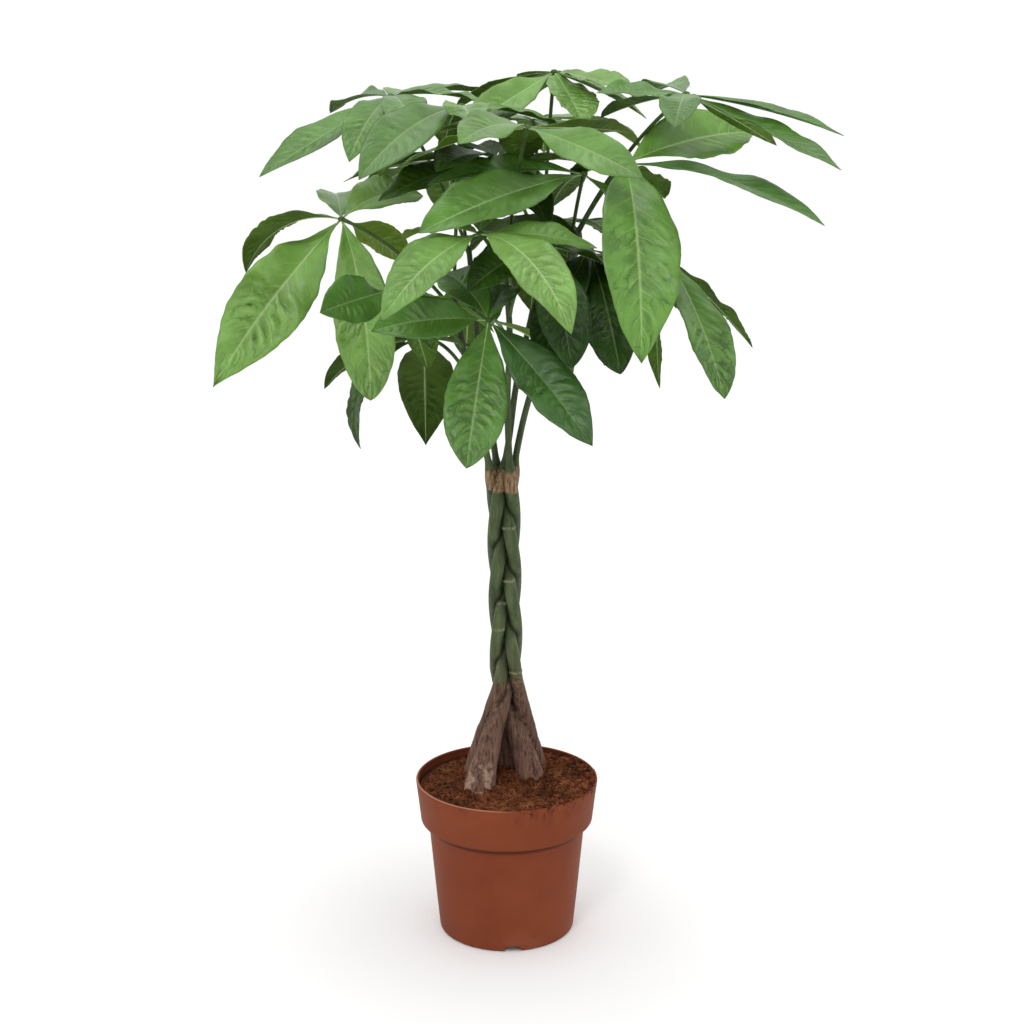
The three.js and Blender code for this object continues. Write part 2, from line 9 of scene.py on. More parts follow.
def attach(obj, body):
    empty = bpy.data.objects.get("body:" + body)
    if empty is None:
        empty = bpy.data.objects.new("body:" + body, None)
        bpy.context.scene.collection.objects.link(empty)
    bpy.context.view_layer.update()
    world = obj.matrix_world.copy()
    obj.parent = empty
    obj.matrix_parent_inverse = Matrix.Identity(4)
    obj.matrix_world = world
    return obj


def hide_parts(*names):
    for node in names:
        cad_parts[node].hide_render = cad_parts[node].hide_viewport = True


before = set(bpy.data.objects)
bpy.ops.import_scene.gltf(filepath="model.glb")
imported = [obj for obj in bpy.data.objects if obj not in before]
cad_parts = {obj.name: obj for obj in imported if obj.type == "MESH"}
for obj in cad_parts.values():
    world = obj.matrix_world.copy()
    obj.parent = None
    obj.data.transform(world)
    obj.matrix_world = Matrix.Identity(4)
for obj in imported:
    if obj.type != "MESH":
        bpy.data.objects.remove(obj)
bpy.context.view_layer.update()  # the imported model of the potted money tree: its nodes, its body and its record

# Metres, +Z up. The pot stands on z = 0 round the origin, -Y is the front and +X is to the right.
print("frame loaded:", len(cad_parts), "nodes")


def mixValue(low, high, share):
    return low + (high - low) * share


def smoothStep(value, low, high):
    share = min(max((value - low) / (high - low), 0), 1)
    return share * share * (3 - 2 * share)


def paint(red, green, blue):
    # a colour as a paint program names it, 0 to 255, for Blender's linear sockets
    parts = [part / 255 for part in (red, green, blue)]
    linear = [part / 12.92 if part < 0.04 else ((part + 0.055) / 1.055) ** 2.4 for part in parts]
    return (*linear, 1)


def deselectAll():
    for other in bpy.context.selected_objects:
        other.select_set(False)


def useOnly(*pieces):
    deselectAll()
    for piece in pieces:
        piece.select_set(True)
    bpy.context.view_layer.objects.active = pieces[0]


def addPrimitive(operator, **settings):
    deselectAll()
    operator(**settings)
    return bpy.context.active_object


def addToScene(name, data):
    piece = bpy.data.objects.new(name, data)
    bpy.context.collection.objects.link(piece)
    return piece


def selectWhere(piece, test):
    # in edit mode: selects the points that pass the test, and the edges between them
    mesh = bmesh.from_edit_mesh(piece.data)
    for vertex in mesh.verts:
        vertex.select = test(vertex.co)
    mesh.select_flush(True)
    mesh.select_flush(False)
    bmesh.update_edit_mesh(piece.data)


def growRings(rings, start):
    # extrudes the selected loop through (radius, height) rings round the pot's axis, and closes the last
    radius, height = start
    for nextRadius, nextHeight in rings:
        bpy.ops.mesh.extrude_region_move(TRANSFORM_OT_translate={"value": (0, 0, nextHeight - height)})
        scale = nextRadius / radius
        bpy.ops.transform.resize(value=(scale, scale, 1), center_override=(0, 0, nextHeight))
        radius = nextRadius
        height = nextHeight
    bpy.ops.mesh.merge(type="CENTER")


def turnOutwards():
    bpy.ops.mesh.select_all(action="SELECT")
    bpy.ops.mesh.normals_make_consistent(inside=False)
    bpy.ops.object.mode_set(mode="OBJECT")


def applyModifiers(piece):
    useOnly(piece)
    for modifier in list(piece.modifiers):
        bpy.ops.object.modifier_apply(modifier=modifier.name)


def joinPieces(pieces):
    useOnly(*pieces)
    bpy.ops.object.join()
    return bpy.context.active_object


def smoothShade(piece):
    useOnly(piece)
    bpy.ops.object.shade_smooth()


def cover(piece, *finishes):
    piece.data.materials.clear()
    for finish in finishes:
        piece.data.materials.append(finish)


def storeValues(mesh, name, values):
    # a value for every point of the mesh, for its finish to read
    attribute = mesh.attributes.new(name, "FLOAT", "POINT")
    attribute.data.foreach_set("value", values)


def handOver(piece, name, slot, *nodes):
    # settles a finished piece at the origin and ties it to the frame
    useOnly(piece)
    bpy.ops.object.transform_apply(location=True, rotation=True, scale=True)
    piece.name = name
    piece.data.name = name
    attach(piece, "root")
    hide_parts(*nodes)


def drawTubes(name, spines, sides):
    # round limbs, each along a spine of points and radii
    limbs = bpy.data.curves.new(name, "CURVE")
    limbs.dimensions = "3D"
    limbs.bevel_depth = 1
    limbs.bevel_resolution = (sides - 4) // 2
    limbs.use_fill_caps = True
    for points, radii in spines:
        spline = limbs.splines.new("POLY")
        spline.points.add(len(points) - 1)
        for knot, point, radius in zip(spline.points, points, radii):
            knot.co = (*point, 1)
            knot.radius = radius
    useOnly(addToScene(name, limbs))
    bpy.ops.object.convert(target="MESH")
    return bpy.context.active_object


# The finishes are node trees. These short functions add one kind of node each and give back its result.

def newFinish(name):
    finish = bpy.data.materials.new(name)
    finish.use_nodes = True
    return finish, finish.node_tree


def plugIn(tree, node, inputs):
    # links another node's result, or sets a plain value
    for key, value in inputs.items():
        if isinstance(value, bpy.types.NodeSocket):
            tree.links.new(value, node.inputs[key])
        else:
            node.inputs[key].default_value = value


def plugShader(tree, colour, roughness, specular, normal):
    plugIn(tree, tree.nodes["Principled BSDF"], {
        "Base Color": colour, "Roughness": roughness, "Specular IOR Level": specular, "Normal": normal})


def addNode(tree, kind, inputs, **settings):
    node = tree.nodes.new(kind)
    for key, value in settings.items():
        setattr(node, key, value)
    plugIn(tree, node, inputs)
    return node


def calc(tree, operation, first, second=0.0):
    return addNode(tree, "ShaderNodeMath", {0: first, 1: second}, operation=operation).outputs[0]


def calcAdd(tree, first, second, third):
    # first times second, plus third
    inputs = {0: first, 1: second, 2: third}
    return addNode(tree, "ShaderNodeMath", inputs, operation="MULTIPLY_ADD").outputs[0]


def times(tree, product, *factors):
    for factor in factors:
        product = calc(tree, "MULTIPLY", product, factor)
    return product


def attributeOf(tree, name):
    return addNode(tree, "ShaderNodeAttribute", {}, attribute_name=name).outputs["Fac"]


def fade(tree, value, low, high):
    # 0 at low, 1 at high, smooth between them
    inputs = {"Value": value, "From Min": low, "From Max": high}
    return addNode(tree, "ShaderNodeMapRange", inputs, interpolation_type="SMOOTHSTEP").outputs["Result"]


def within(tree, value, start, full, ebb, end):
    # 0 up to start, 1 from full to ebb, and 0 again past end
    return times(tree, fade(tree, value, start, full), fade(tree, value, end, ebb))


def blend(tree, share, first, second):
    return addNode(tree, "ShaderNodeMix", {0: share, 6: first, 7: second}, data_type="RGBA").outputs[2]


def tint(tree, base, colour, strength, *masks):
    # lays a colour over the base where all the masks are white
    return blend(tree, times(tree, *masks, strength), base, colour)


def ramp(tree, value, stops):
    node = addNode(tree, "ShaderNodeValToRGB", {0: value})
    bar = node.color_ramp.elements
    while len(bar) < len(stops):
        bar.new(1)
    for stop, (place, colour) in zip(bar, stops):
        stop.position = place
        stop.color = colour
    return node.outputs["Color"]


def objectPlace(tree, stretch=(1, 1, 1)):
    place = addNode(tree, "ShaderNodeTexCoord", {}).outputs["Object"]
    return addNode(tree, "ShaderNodeMapping", {"Vector": place, "Scale": stretch}).outputs["Vector"]


def distanceTo(tree, place, spot):
    inputs = {0: place, 1: spot}
    return addNode(tree, "ShaderNodeVectorMath", inputs, operation="DISTANCE").outputs["Value"]


def cloud(tree, place, scale, detail=3.0, roughness=0.55):
    inputs = {"Vector": place, "Scale": scale, "Detail": detail, "Roughness": roughness}
    return addNode(tree, "ShaderNodeTexNoise", inputs).outputs["Fac"]


def patches(tree, place, scale, detail, low, high):
    # a mask of soft spots: white where the clouds are over high, black where they are under low
    return fade(tree, cloud(tree, place, scale, detail), low, high)


def cellEdges(tree, place, scale):
    inputs = {"Vector": place, "Scale": scale}
    return addNode(tree, "ShaderNodeTexVoronoi", inputs, feature="DISTANCE_TO_EDGE").outputs["Distance"]


def bumpFrom(tree, height, strength, distance, under=None):
    inputs = {"Height": height, "Strength": strength, "Distance": distance}
    if under:
        inputs["Normal"] = under
    return addNode(tree, "ShaderNodeBump", inputs).outputs["Normal"]


studio = {
    "cameraPlace": (0.005, -1.8, 0.881),
    "cameraTilt": 75.2,  # degrees from looking straight down
    "lens": 72.2,
    "sensorWidth": 36,
    "floorSize": 400,
    "floorColour": paint(248, 248, 248),
    "floorRoughness": 0.9,
    "floorSpecular": 0.1,
    "skyColour": paint(253, 253, 253),
    "skyStrength": 1.1,
    "lights": {  # place, the point it faces, width, power in watts
        "keyLight": ((-0.5, -1.9, 2.6), (0, 0, 0.6), 0.6, 14),
        "fillLight": ((1.8, -1.5, 1.4), (0, 0, 0.6), 1.2, 1.5),
        "topLight": ((0.1, 0.3, 2.7), (0, 0, 0.7), 0.8, 6),
    },
}


def placeCamera():
    camera = addToScene("camera", bpy.data.cameras.new("camera"))
    camera.data.sensor_width = studio["sensorWidth"]
    camera.data.lens = studio["lens"]
    camera.location = studio["cameraPlace"]
    camera.rotation_euler = (math.radians(studio["cameraTilt"]), 0, 0)
    bpy.context.scene.camera = camera


def makeFloor():
    floor = addPrimitive(bpy.ops.mesh.primitive_plane_add, size=studio["floorSize"])
    floor.name = "floor"
    finish, tree = newFinish("paleFloor")
    plugIn(tree, tree.nodes["Principled BSDF"], {
        "Base Color": studio["floorColour"], "Roughness": studio["floorRoughness"],
        "Specular IOR Level": studio["floorSpecular"]})
    cover(floor, finish)


def hangLights():
    for name, (place, aim, width, power) in studio["lights"].items():
        lamp = bpy.data.lights.new(name, "AREA")
        lamp.shape = "DISK"
        lamp.size = width
        lamp.energy = power
        light = addToScene(name, lamp)
        light.location = place
        light.rotation_euler = (Vector(aim) - Vector(place)).to_track_quat("-Z", "Y").to_euler()


def fillSky():
    sky = bpy.data.worlds.new("softRoom")
    sky.use_nodes = True
    plugIn(sky.node_tree, sky.node_tree.nodes["Background"], {
        "Color": studio["skyColour"], "Strength": studio["skyStrength"]})
    bpy.context.scene.world = sky


def makeStudio():
    placeCamera()
    makeFloor()
    hangLights()
    fillSky()
    bpy.context.scene.view_settings.view_transform = "Standard"
    print("studio ready")


makeStudio()

pot = {
    "height": 0.149,
    "rimRadius": 0.085,
    "bandFootRadius": 0.0806,
    "bandHeight": 0.039,
    "shoulderHeight": 0.007,
    "wallTopRadius": 0.073,
    "baseRadius": 0.0635,
    "wall": 0.0017,
    "lip": 0.0026,  # the rolled edge's width
    "insideDrop": 0.006,  # the inside wall starts this far under the rim
    "corner": 0.003,
    "footRing": 0.0018,  # width of the flat that the pot stands on
    "floor": 0.0055,  # height of the floor's underside
    "fillet": 0.001,
    "softEdge": 0.0004,
    "notches": 3,
    "notchWidth": 0.020,
    "notchTopWidth": 0.013,
    "notchReach": 0.02,
    "notchAngle": -85,
    "holeRadius": 0.005,
    "holeCircle": 0.038,
    "holeCut": 0.02,
    "holeSides": 32,
    "sides": 144,
    "wallRings": (0.03, 0.06, 0.09),  # heights of the mesh's rings under the shoulder
    "bandRings": (0.112, 0.13),
    "floorRings": (0.045, 0.002),
    "plastic": (paint(112, 53, 30), paint(124, 61, 36)),
    "rubbedSoil": paint(72, 36, 24),
    "spiltSoil": paint(54, 26, 15),
    "bandShade": paint(52, 22, 13),
    "insideShade": paint(60, 30, 20),
    "lipHighlight": paint(196, 142, 112),
    "dust": paint(138, 84, 62),
    "specks": paint(92, 44, 28),
}
# heights that follow from these
pot["bandFoot"] = pot["height"] - pot["bandHeight"]
pot["wallTop"] = pot["bandFoot"] - pot["shoulderHeight"]
pot["floorTop"] = pot["floor"] + pot["wall"]


def potRadius(height):
    # the wall's outside, without the rolled lip
    if height > pot["bandFoot"]:
        share = (height - pot["bandFoot"]) / pot["bandHeight"]
        return mixValue(pot["bandFootRadius"], pot["rimRadius"], share)
    if height > pot["wallTop"]:
        share = smoothStep(height, pot["wallTop"], pot["bandFoot"])
        return mixValue(pot["wallTopRadius"], pot["bandFootRadius"], share)
    return mixValue(pot["baseRadius"], pot["wallTopRadius"], height / pot["wallTop"])


def wallHeights():
    # close together on the shoulder, where the wall curves
    steps = 8
    shoulder = [mixValue(pot["wallTop"], pot["bandFoot"], i / steps) for i in range(steps + 1)]
    return [*pot["wallRings"], *shoulder, *pot["bandRings"]]


def roundCorner(radius, height, size, first, last, step):
    # rings on an arc of this size about a ring: 0 degrees points outwards and 90 up
    angles = [math.radians(angle) for angle in range(first, last + 1, step)]
    return [(radius + size * math.cos(a), height + size * math.sin(a)) for a in angles]


def potRings():
    # the wall from the foot ring up the outside, over the rolled lip and down to the floor inside
    corner = pot["corner"]
    lip = pot["lip"] / 2
    floorTop = pot["floorTop"]
    rings = roundCorner(pot["baseRadius"] - corner, corner, corner, -90, 0, 18)
    rings += [(potRadius(height), height) for height in wallHeights()]
    rings += roundCorner(pot["rimRadius"] - lip, pot["height"] - lip, lip, 0, 180, 20)
    inside = [pot["height"] - pot["insideDrop"], *reversed(wallHeights()), floorTop + 2 * pot["fillet"]]
    rings += [(potRadius(height) - pot["wall"], height) for height in inside]
    rings.append((potRadius(floorTop) - pot["wall"] - 2 * pot["fillet"], floorTop))
    return rings + [(radius, floorTop) for radius in pot["floorRings"]]


def cutPot(piece):
    # the notches in the foot ring, and the drain holes between them
    narrow = pot["notchTopWidth"] / pot["notchWidth"]
    cutters = []
    for i in range(pot["notches"]):
        notch = addPrimitive(bpy.ops.mesh.primitive_cube_add, size=1, location=(0, 0, 0))
        notch.scale = (pot["notchWidth"], pot["notchReach"], 2 * pot["floor"])
        bpy.ops.object.mode_set(mode="EDIT")
        selectWhere(notch, lambda co: co.z > 0)
        bpy.ops.transform.resize(value=(narrow, 1, 1), center_override=(0, 0, 0))
        bpy.ops.object.mode_set(mode="OBJECT")
        turn = math.radians(pot["notchAngle"] + 90 + 360 * i / pot["notches"])
        notch.location = Matrix.Rotation(turn, 3, "Z") @ Vector((0, -pot["baseRadius"], 0))
        notch.rotation_euler.z = turn
        cutters.append(notch)
        turn += math.radians(180 / pot["notches"])
        place = Matrix.Rotation(turn, 3, "Z") @ Vector((0, -pot["holeCircle"], pot["floor"]))
        cutters.append(addPrimitive(bpy.ops.mesh.primitive_cylinder_add, vertices=pot["holeSides"],
                                    radius=pot["holeRadius"], depth=pot["holeCut"], location=place))
    cutter = joinPieces(cutters)
    cut = piece.modifiers.new("cut", "BOOLEAN")
    cut.operation = "DIFFERENCE"
    cut.object = cutter
    applyModifiers(piece)
    bpy.data.objects.remove(cutter)


def potFinish():
    finish, tree = newFinish("terracottaPlastic")
    rim, wallTop, rimRadius = pot["height"], pot["wallTop"], pot["rimRadius"]
    place = objectPlace(tree)
    parts = addNode(tree, "ShaderNodeSeparateXYZ", {0: place})
    height = parts.outputs["Z"]
    toRight = calcAdd(tree, parts.outputs["X"], 0.7, times(tree, parts.outputs["Y"], -0.7))
    radius = distanceTo(tree, objectPlace(tree, (1, 1, 0)), (0, 0, 0))
    dark, light = pot["plastic"]
    base = ramp(tree, cloud(tree, place, 14, 4), [(0.3, dark), (0.7, light)])
    # soil rubbed into the matt surface under the rim
    smear = patches(tree, objectPlace(tree, (60, 60, 26)), 1, 5, 0.52, 0.72)
    base = tint(tree, base, pot["rubbedSoil"], 0.35, fade(tree, height, rim - 0.027, rim - 0.002), smear)
    # and darker smudges at the front right, where soil came over the rim
    smudge = patches(tree, objectPlace(tree, (110, 110, 60)), 1, 4, 0.5, 0.66)
    base = tint(tree, base, pot["spiltSoil"], 0.75, smudge, fade(tree, height, rim - 0.021, rim - 0.001),
                fade(tree, toRight, 0.055, 0.078))
    # painted shadow under the band, painted shade on the inside of the wall above the soil, and a painted
    # highlight along the lip
    foot = within(tree, height, wallTop - 0.0025, wallTop + 0.0005, wallTop + 0.0015, wallTop + 0.0055)
    base = tint(tree, base, pot["bandShade"], 0.72, foot)
    # painted shade on the inside of the wall above the soil
    inside = fade(tree, radius, rimRadius - 0.0022, rimRadius - 0.0028)
    base = tint(tree, base, pot["insideShade"], 0.8, inside, fade(tree, height, rim - 0.019, rim - 0.015))
    # painted highlight along the top of the lip, left off at the right where soil covers it
    base = tint(tree, base, pot["lipHighlight"], 0.6, fade(tree, height, rim - 0.0009, rim - 0.0002),
                fade(tree, radius, rimRadius - 0.0018, rimRadius - 0.0008), fade(tree, toRight, 0.066, 0.048))
    # dust that settles near the foot, and fine specks all over
    dust = patches(tree, place, 45, 6, 0.42, 0.7)
    base = tint(tree, base, pot["dust"], 0.35, fade(tree, height, 0.03, 0.0), dust)
    base = tint(tree, base, pot["specks"], 0.22, patches(tree, place, 520, 2, 0.62, 0.75))
    grain = bumpFrom(tree, cloud(tree, place, 900, 2), 0.2, 0.0003)
    drawLines = bumpFrom(tree, cloud(tree, objectPlace(tree, (90, 90, 4)), 1, 3), 0.2, 0.0005, grain)
    plugShader(tree, base, calcAdd(tree, cloud(tree, place, 30, 5), 0.2, 0.46), 0.1, drawLines)
    return finish


def makePot():
    radius = pot["baseRadius"] - pot["corner"] - pot["footRing"]
    floor = pot["floor"]
    piece = addPrimitive(bpy.ops.mesh.primitive_circle_add, vertices=pot["sides"], radius=radius)
    bpy.ops.object.mode_set(mode="EDIT")
    growRings(potRings(), (radius, 0))
    selectWhere(piece, lambda co: abs(co.z) < 1e-6 and co.xy.length < radius + 1e-5)
    underside = [(radius, floor - pot["fillet"]), (radius - pot["fillet"], floor)]
    growRings(underside + [(ring, floor) for ring in pot["floorRings"]], (radius, 0))
    turnOutwards()
    cutPot(piece)
    soften = piece.modifiers.new("soften", "BEVEL")
    soften.width = pot["softEdge"]
    soften.segments = 2
    soften.limit_method = "ANGLE"
    soften.angle_limit = math.radians(40)
    applyModifiers(piece)
    bpy.ops.object.shade_smooth_by_angle(angle=math.radians(35))
    cover(piece, potFinish())
    handOver(piece, "nursery_pot", "pot", "pot")
    print("pot ready")


makePot()

# phase: place in the braid. foot: where the stem enters the soil. shoot: points of the green shoot above
# the braid. scars: heights of the pale rings that fallen leaves left.
stems = {
    "trunk_1": {"phase": 144, "foot": (-0.028, 0.024), "footRadius": 0.0135, "scars": [0.394],
                "shoot": [(-0.012, 0.009, 0.47), (-0.024, 0.03, 0.545), (-0.034, 0.046, 0.64)]},
    "trunk_2": {"phase": 288, "foot": (-0.025, -0.018), "footRadius": 0.0155, "scars": [],
                "shoot": [(0.011, 0.005, 0.47), (0.021, 0.004, 0.512), (0.044, -0.004, 0.58),
                          (0.058, -0.012, 0.655)]},
    "trunk_3": {"phase": 216, "foot": (0.023, 0.002), "footRadius": 0.014, "scars": [0.299, 0.322],
                "shoot": [(0.002, -0.008, 0.47), (0.001, -0.009, 0.512), (0.003, -0.026, 0.575),
                          (-0.002, -0.048, 0.64)]},
    "trunk_4": {"phase": 0, "foot": (0.025, 0.031), "footRadius": 0.0135, "scars": [0.2565],
                "shoot": [(0.002, 0.006, 0.47), (0.009, 0.019, 0.52), (0.025, 0.046, 0.59),
                          (0.034, 0.066, 0.655)]},
    "trunk_5": {"phase": 72, "foot": (-0.001, 0.029), "footRadius": 0.013, "scars": [0.344],
                "shoot": [(-0.019, -0.007, 0.467), (-0.032, -0.01, 0.525), (-0.047, -0.008, 0.61)]},
}

# Of what lies on the soil, turn is the middle and the spread of its place round the pot in degrees,
# radius its reach from the pot's axis, size its half width, and lift how many sizes it stands up.
soil = {
    "level": 0.1445,
    "tilt": 0.006,  # lower at the back left than in the middle by this much
    "mound": 0.005,  # and higher round the roots
    "moundCentre": 0.010,
    "moundReach": 0.026,
    "clearance": 0.0003,
    "sides": 160,
    "rings": 72,
    "calmEdge": (0.076, 0.0815),  # the clods die out between these radii
    "clods": 0.0026,
    "gaps": 0.0018,
    "scatterReach": 0.079,
    "lumps": {"count": 900, "size": (0.0006, 0.0022), "lift": 0.2, "big": 1.8, "bigShare": 0.14},
    "rimLumps": {"count": 150, "turn": (4, 50), "radius": (0.066, 0.0818), "size": (0.0010, 0.0032),
                 "lift": (0.2, 1.2)},  # heaped against the rim, where the soil spills over it
    "spiltLumps": {"count": 90, "turn": (-32, 26), "radius": (0.0800, 0.0843), "size": (0.0008, 0.0021),
                   "rise": (-0.0008, 0.0006)},  # on the rim itself
    "footLumps": {"count": 44, "gap": (-0.0008, 0.004), "size": (0.0012, 0.0034), "lift": (0.1, 1.1)},
    "bandCrumbs": {"count": 22, "turn": (-48, 22), "drop": (0.001, 0.016), "size": (0.0005, 0.0013),
                   "width": (1, 2)},
    "lumpModels": 3,
    "lumpUnevenness": 0.9,
    "lumpShape": (1, 0.8, 0.6, 1),
    "lumpTumble": 40,  # degrees
    "fibreBends": ((0.12, 0.0), (0.25, 0.1), (0.05, -0.2), (0.35, 0.25)),  # sideways bow, and hook at the end
    "fibreRadius": 0.016,  # against the fibre's length
    "fibres": {"count": 2400, "length": (0.006, 0.020), "lift": (0.0004, 0.002), "tumble": 14},
    "hangingFibres": {"count": 34, "turn": (-56, 20), "length": (0.007, 0.015), "swing": 35,
                      "droop": (30, 62)},
    "seed": 11,
    "tones": [(0.28, paint(50, 24, 13)), (0.44, paint(100, 53, 30)), (0.6, paint(134, 76, 45)),
              (0.78, paint(170, 112, 68))],
    "dampClump": paint(46, 22, 13),
    "gapShade": paint(20, 9, 5),
    "fibreTones": [(0.3, paint(90, 46, 25)), (0.5, paint(136, 78, 43)), (0.7, paint(186, 132, 80))],
}


def soilHeight(x, y):
    # the slope, the mound round the roots and two gentle swells
    tilt = soil["tilt"] * (x - y) / (math.sqrt(2) * pot["rimRadius"])
    fromMound = x * x + (y - soil["moundCentre"]) ** 2
    mound = soil["mound"] * math.exp(-fromMound / (2 * soil["moundReach"] ** 2))
    swells = 0.0009 * math.sin(190 * x + 0.7) * math.sin(230 * y + 1.9) + 0.0006 * math.sin(410 * x - 330 * y)
    return soil["level"] + tilt + mound + swells


def crumbDepth(x, y):
    # the clods on top of the soil's slope, and the dark gaps between them
    place = Vector((x, y, 0))
    clods = noise.fractal(place * 105, 0.8, 2.1, 5)
    gaps = abs(noise.noise(place * 210 + Vector((3, 7, 0))))
    return soil["clods"] * clods - soil["gaps"] * (1 - smoothStep(gaps, 0, 0.22))


def crumbHeight(x, y):
    calmFrom, calmTo = soil["calmEdge"]
    return soilHeight(x, y) + crumbDepth(x, y) * smoothStep(-math.hypot(x, y), -calmTo, -calmFrom)


def soilFinish():
    finish, tree = newFinish("coirSoil")
    place = objectPlace(tree)
    base = ramp(tree, cloud(tree, place, 150, 6, 0.7), soil["tones"])
    base = tint(tree, base, soil["dampClump"], 0.62, patches(tree, place, 36, 3, 0.42, 0.62))
    # painted shade in the gaps between the clods
    base = tint(tree, base, soil["gapShade"], 0.85, attributeOf(tree, "gap"))
    plugShader(tree, base, 0.95, 0.15, bumpFrom(tree, cloud(tree, place, 700, 5, 0.7), 0.9, 0.0012))
    return finish


def fibreFinish():
    finish, tree = newFinish("coirFibre")
    place = objectPlace(tree)
    base = ramp(tree, cloud(tree, place, 90, 3), soil["fibreTones"])
    plugShader(tree, base, 0.7, 0.25, bumpFrom(tree, cloud(tree, place, 1500, 2), 0.4, 0.0002))
    return finish


def scatter(name, models, placements, finish):
    # one mesh that holds a copy of a model at each placement: (model number, matrix)
    points = []
    faces = []
    for number, matrix in placements:
        model = models[number].data
        first = len(points)
        points += [matrix @ vertex.co for vertex in model.vertices]
        faces += [[first + index for index in face.vertices] for face in model.polygons]
    whole = bpy.data.meshes.new(name)
    whole.from_pydata(points, [], faces)
    piece = addToScene(name, whole)
    cover(piece, finish)
    for model in models:
        bpy.data.objects.remove(model)
    return piece


def makeSoilBody(finish):
    inset = pot["wall"] + soil["clearance"]
    bottom = pot["floorTop"] + soil["clearance"]
    start = (potRadius(bottom) - inset - 2 * pot["fillet"], bottom)
    piece = addPrimitive(bpy.ops.mesh.primitive_circle_add, vertices=soil["sides"], radius=start[0],
                         location=(0, 0, bottom), fill_type="NGON")
    bpy.ops.object.transform_apply(location=True)
    bpy.ops.object.mode_set(mode="EDIT")
    bpy.ops.mesh.select_all(action="SELECT")
    bpy.ops.mesh.select_mode(type="EDGE")
    bpy.ops.mesh.region_to_loop()
    heights = [bottom + 2 * pot["fillet"], pot["wallTop"], pot["bandFoot"], soil["level"] - pot["insideDrop"]]
    rings = [(potRadius(height) - inset, height) for height in heights]
    edge = rings[-1][0] - 2 * soil["clearance"]
    rings += [(edge * (1 - i / soil["rings"]), soil["level"]) for i in range(soil["rings"])]
    growRings(rings, start)
    bpy.ops.mesh.select_mode(type="VERT")
    turnOutwards()
    depths = []
    for vertex in piece.data.vertices:
        onTop = vertex.co.z > soil["level"] - 0.0001
        depths.append(crumbDepth(vertex.co.x, vertex.co.y) if onTop else 0)
        if onTop:
            vertex.co.z = crumbHeight(vertex.co.x, vertex.co.y)
    # how deep each point lies in a gap between clods, for the painted shade there
    storeValues(piece.data, "gap", [smoothStep(-depth, 0.0002, 0.0022) for depth in depths])
    smoothShade(piece)
    cover(piece, finish)
    return piece


def lumpModels():
    models = []
    for number in range(soil["lumpModels"]):
        lump = addPrimitive(bpy.ops.mesh.primitive_ico_sphere_add, subdivisions=2, radius=1)
        for vertex in lump.data.vertices:
            swelling = noise.noise(vertex.co * 1.8 + Vector((7 * number, 0, 0)))
            vertex.co *= 1 + soil["lumpUnevenness"] * swelling
        lump.data.transform(Matrix.Diagonal(soil["lumpShape"]))
        models.append(lump)
    return models


def fibreModels():
    # thin curved threads of coir, a metre long here and scaled where they lie
    models = []
    steps = 7
    for bow, hook in soil["fibreBends"]:
        points = []
        radii = []
        for i in range(steps + 1):
            t = i / steps
            points.append((t - 0.5, bow * math.sin(math.pi * t), hook * t * t * math.sin(2.2 * t)))
            radii.append(soil["fibreRadius"] * (1 - 0.6 * abs(2 * t - 1)))
        models.append(drawTubes("fibre", [(points, radii)], 4))
    return models


def around(centre, turn, radius):
    return centre[0] + radius * math.cos(turn), centre[1] + radius * math.sin(turn)


def onSoil(lift):
    # a random place on the soil
    radius = soil["scatterReach"] * math.sqrt(random.random())
    x, y = around((0, 0), random.uniform(0, 2 * math.pi), radius)
    return Vector((x, y, crumbHeight(x, y) + lift))


def randomTurn(tip):
    spin = Matrix.Rotation(random.uniform(0, 2 * math.pi), 4, "Z")
    lean = Matrix.Rotation(math.radians(random.gauss(0, tip)), 4, "Y")
    roll = Matrix.Rotation(random.uniform(0, 2 * math.pi), 4, "X")
    return spin @ lean @ roll


def tumbledLump(place, size):
    number = random.randrange(soil["lumpModels"])
    return number, Matrix.Translation(place) @ randomTurn(soil["lumpTumble"]) @ Matrix.Scale(size, 4)


def looseLumps():
    own = soil["lumps"]
    for i in range(own["count"]):
        size = random.uniform(*own["size"]) * (own["big"] if random.random() < own["bigShare"] else 1)
        yield tumbledLump(onSoil(own["lift"] * size), size)


def rimLumps():
    own = soil["rimLumps"]
    for i in range(own["count"]):
        x, y = around((0, 0), math.radians(random.gauss(*own["turn"])), random.uniform(*own["radius"]))
        size = random.uniform(*own["size"])
        yield tumbledLump((x, y, crumbHeight(x, y) + random.uniform(*own["lift"]) * size), size)


def spiltLumps():
    own = soil["spiltLumps"]
    for i in range(own["count"]):
        x, y = around((0, 0), math.radians(random.gauss(*own["turn"])), random.uniform(*own["radius"]))
        size = random.uniform(*own["size"])
        yield tumbledLump((x, y, pot["height"] + random.uniform(*own["rise"])), size)


def footLumps(stem):
    own = soil["footLumps"]
    for i in range(own["count"]):
        turn = random.uniform(0, 2 * math.pi)
        x, y = around(stem["foot"], turn, stem["footRadius"] + random.uniform(*own["gap"]))
        size = random.uniform(*own["size"])
        yield tumbledLump((x, y, crumbHeight(x, y) + random.uniform(*own["lift"]) * size), size)


def bandCrumbs():
    # smears and crumbs that stick to the band below the rim, most of them at the front right
    own = soil["bandCrumbs"]
    for i in range(own["count"]):
        turn = math.radians(random.gauss(*own["turn"]))
        drop = random.uniform(*own["drop"]) * random.random()
        height = pot["height"] - drop
        # pressed on the wall, or on the round of the lip above it
        x, y = around((0, 0), turn, potRadius(height) + (0.0002 if drop > 0.002 else -0.0008))
        size = random.uniform(*own["size"])
        flat = Matrix.Diagonal((0.35 * size, random.uniform(*own["width"]) * size, size, 1))
        place = Matrix.Translation((x, y, height)) @ Matrix.Rotation(turn, 4, "Z")
        yield random.randrange(soil["lumpModels"]), place @ flat


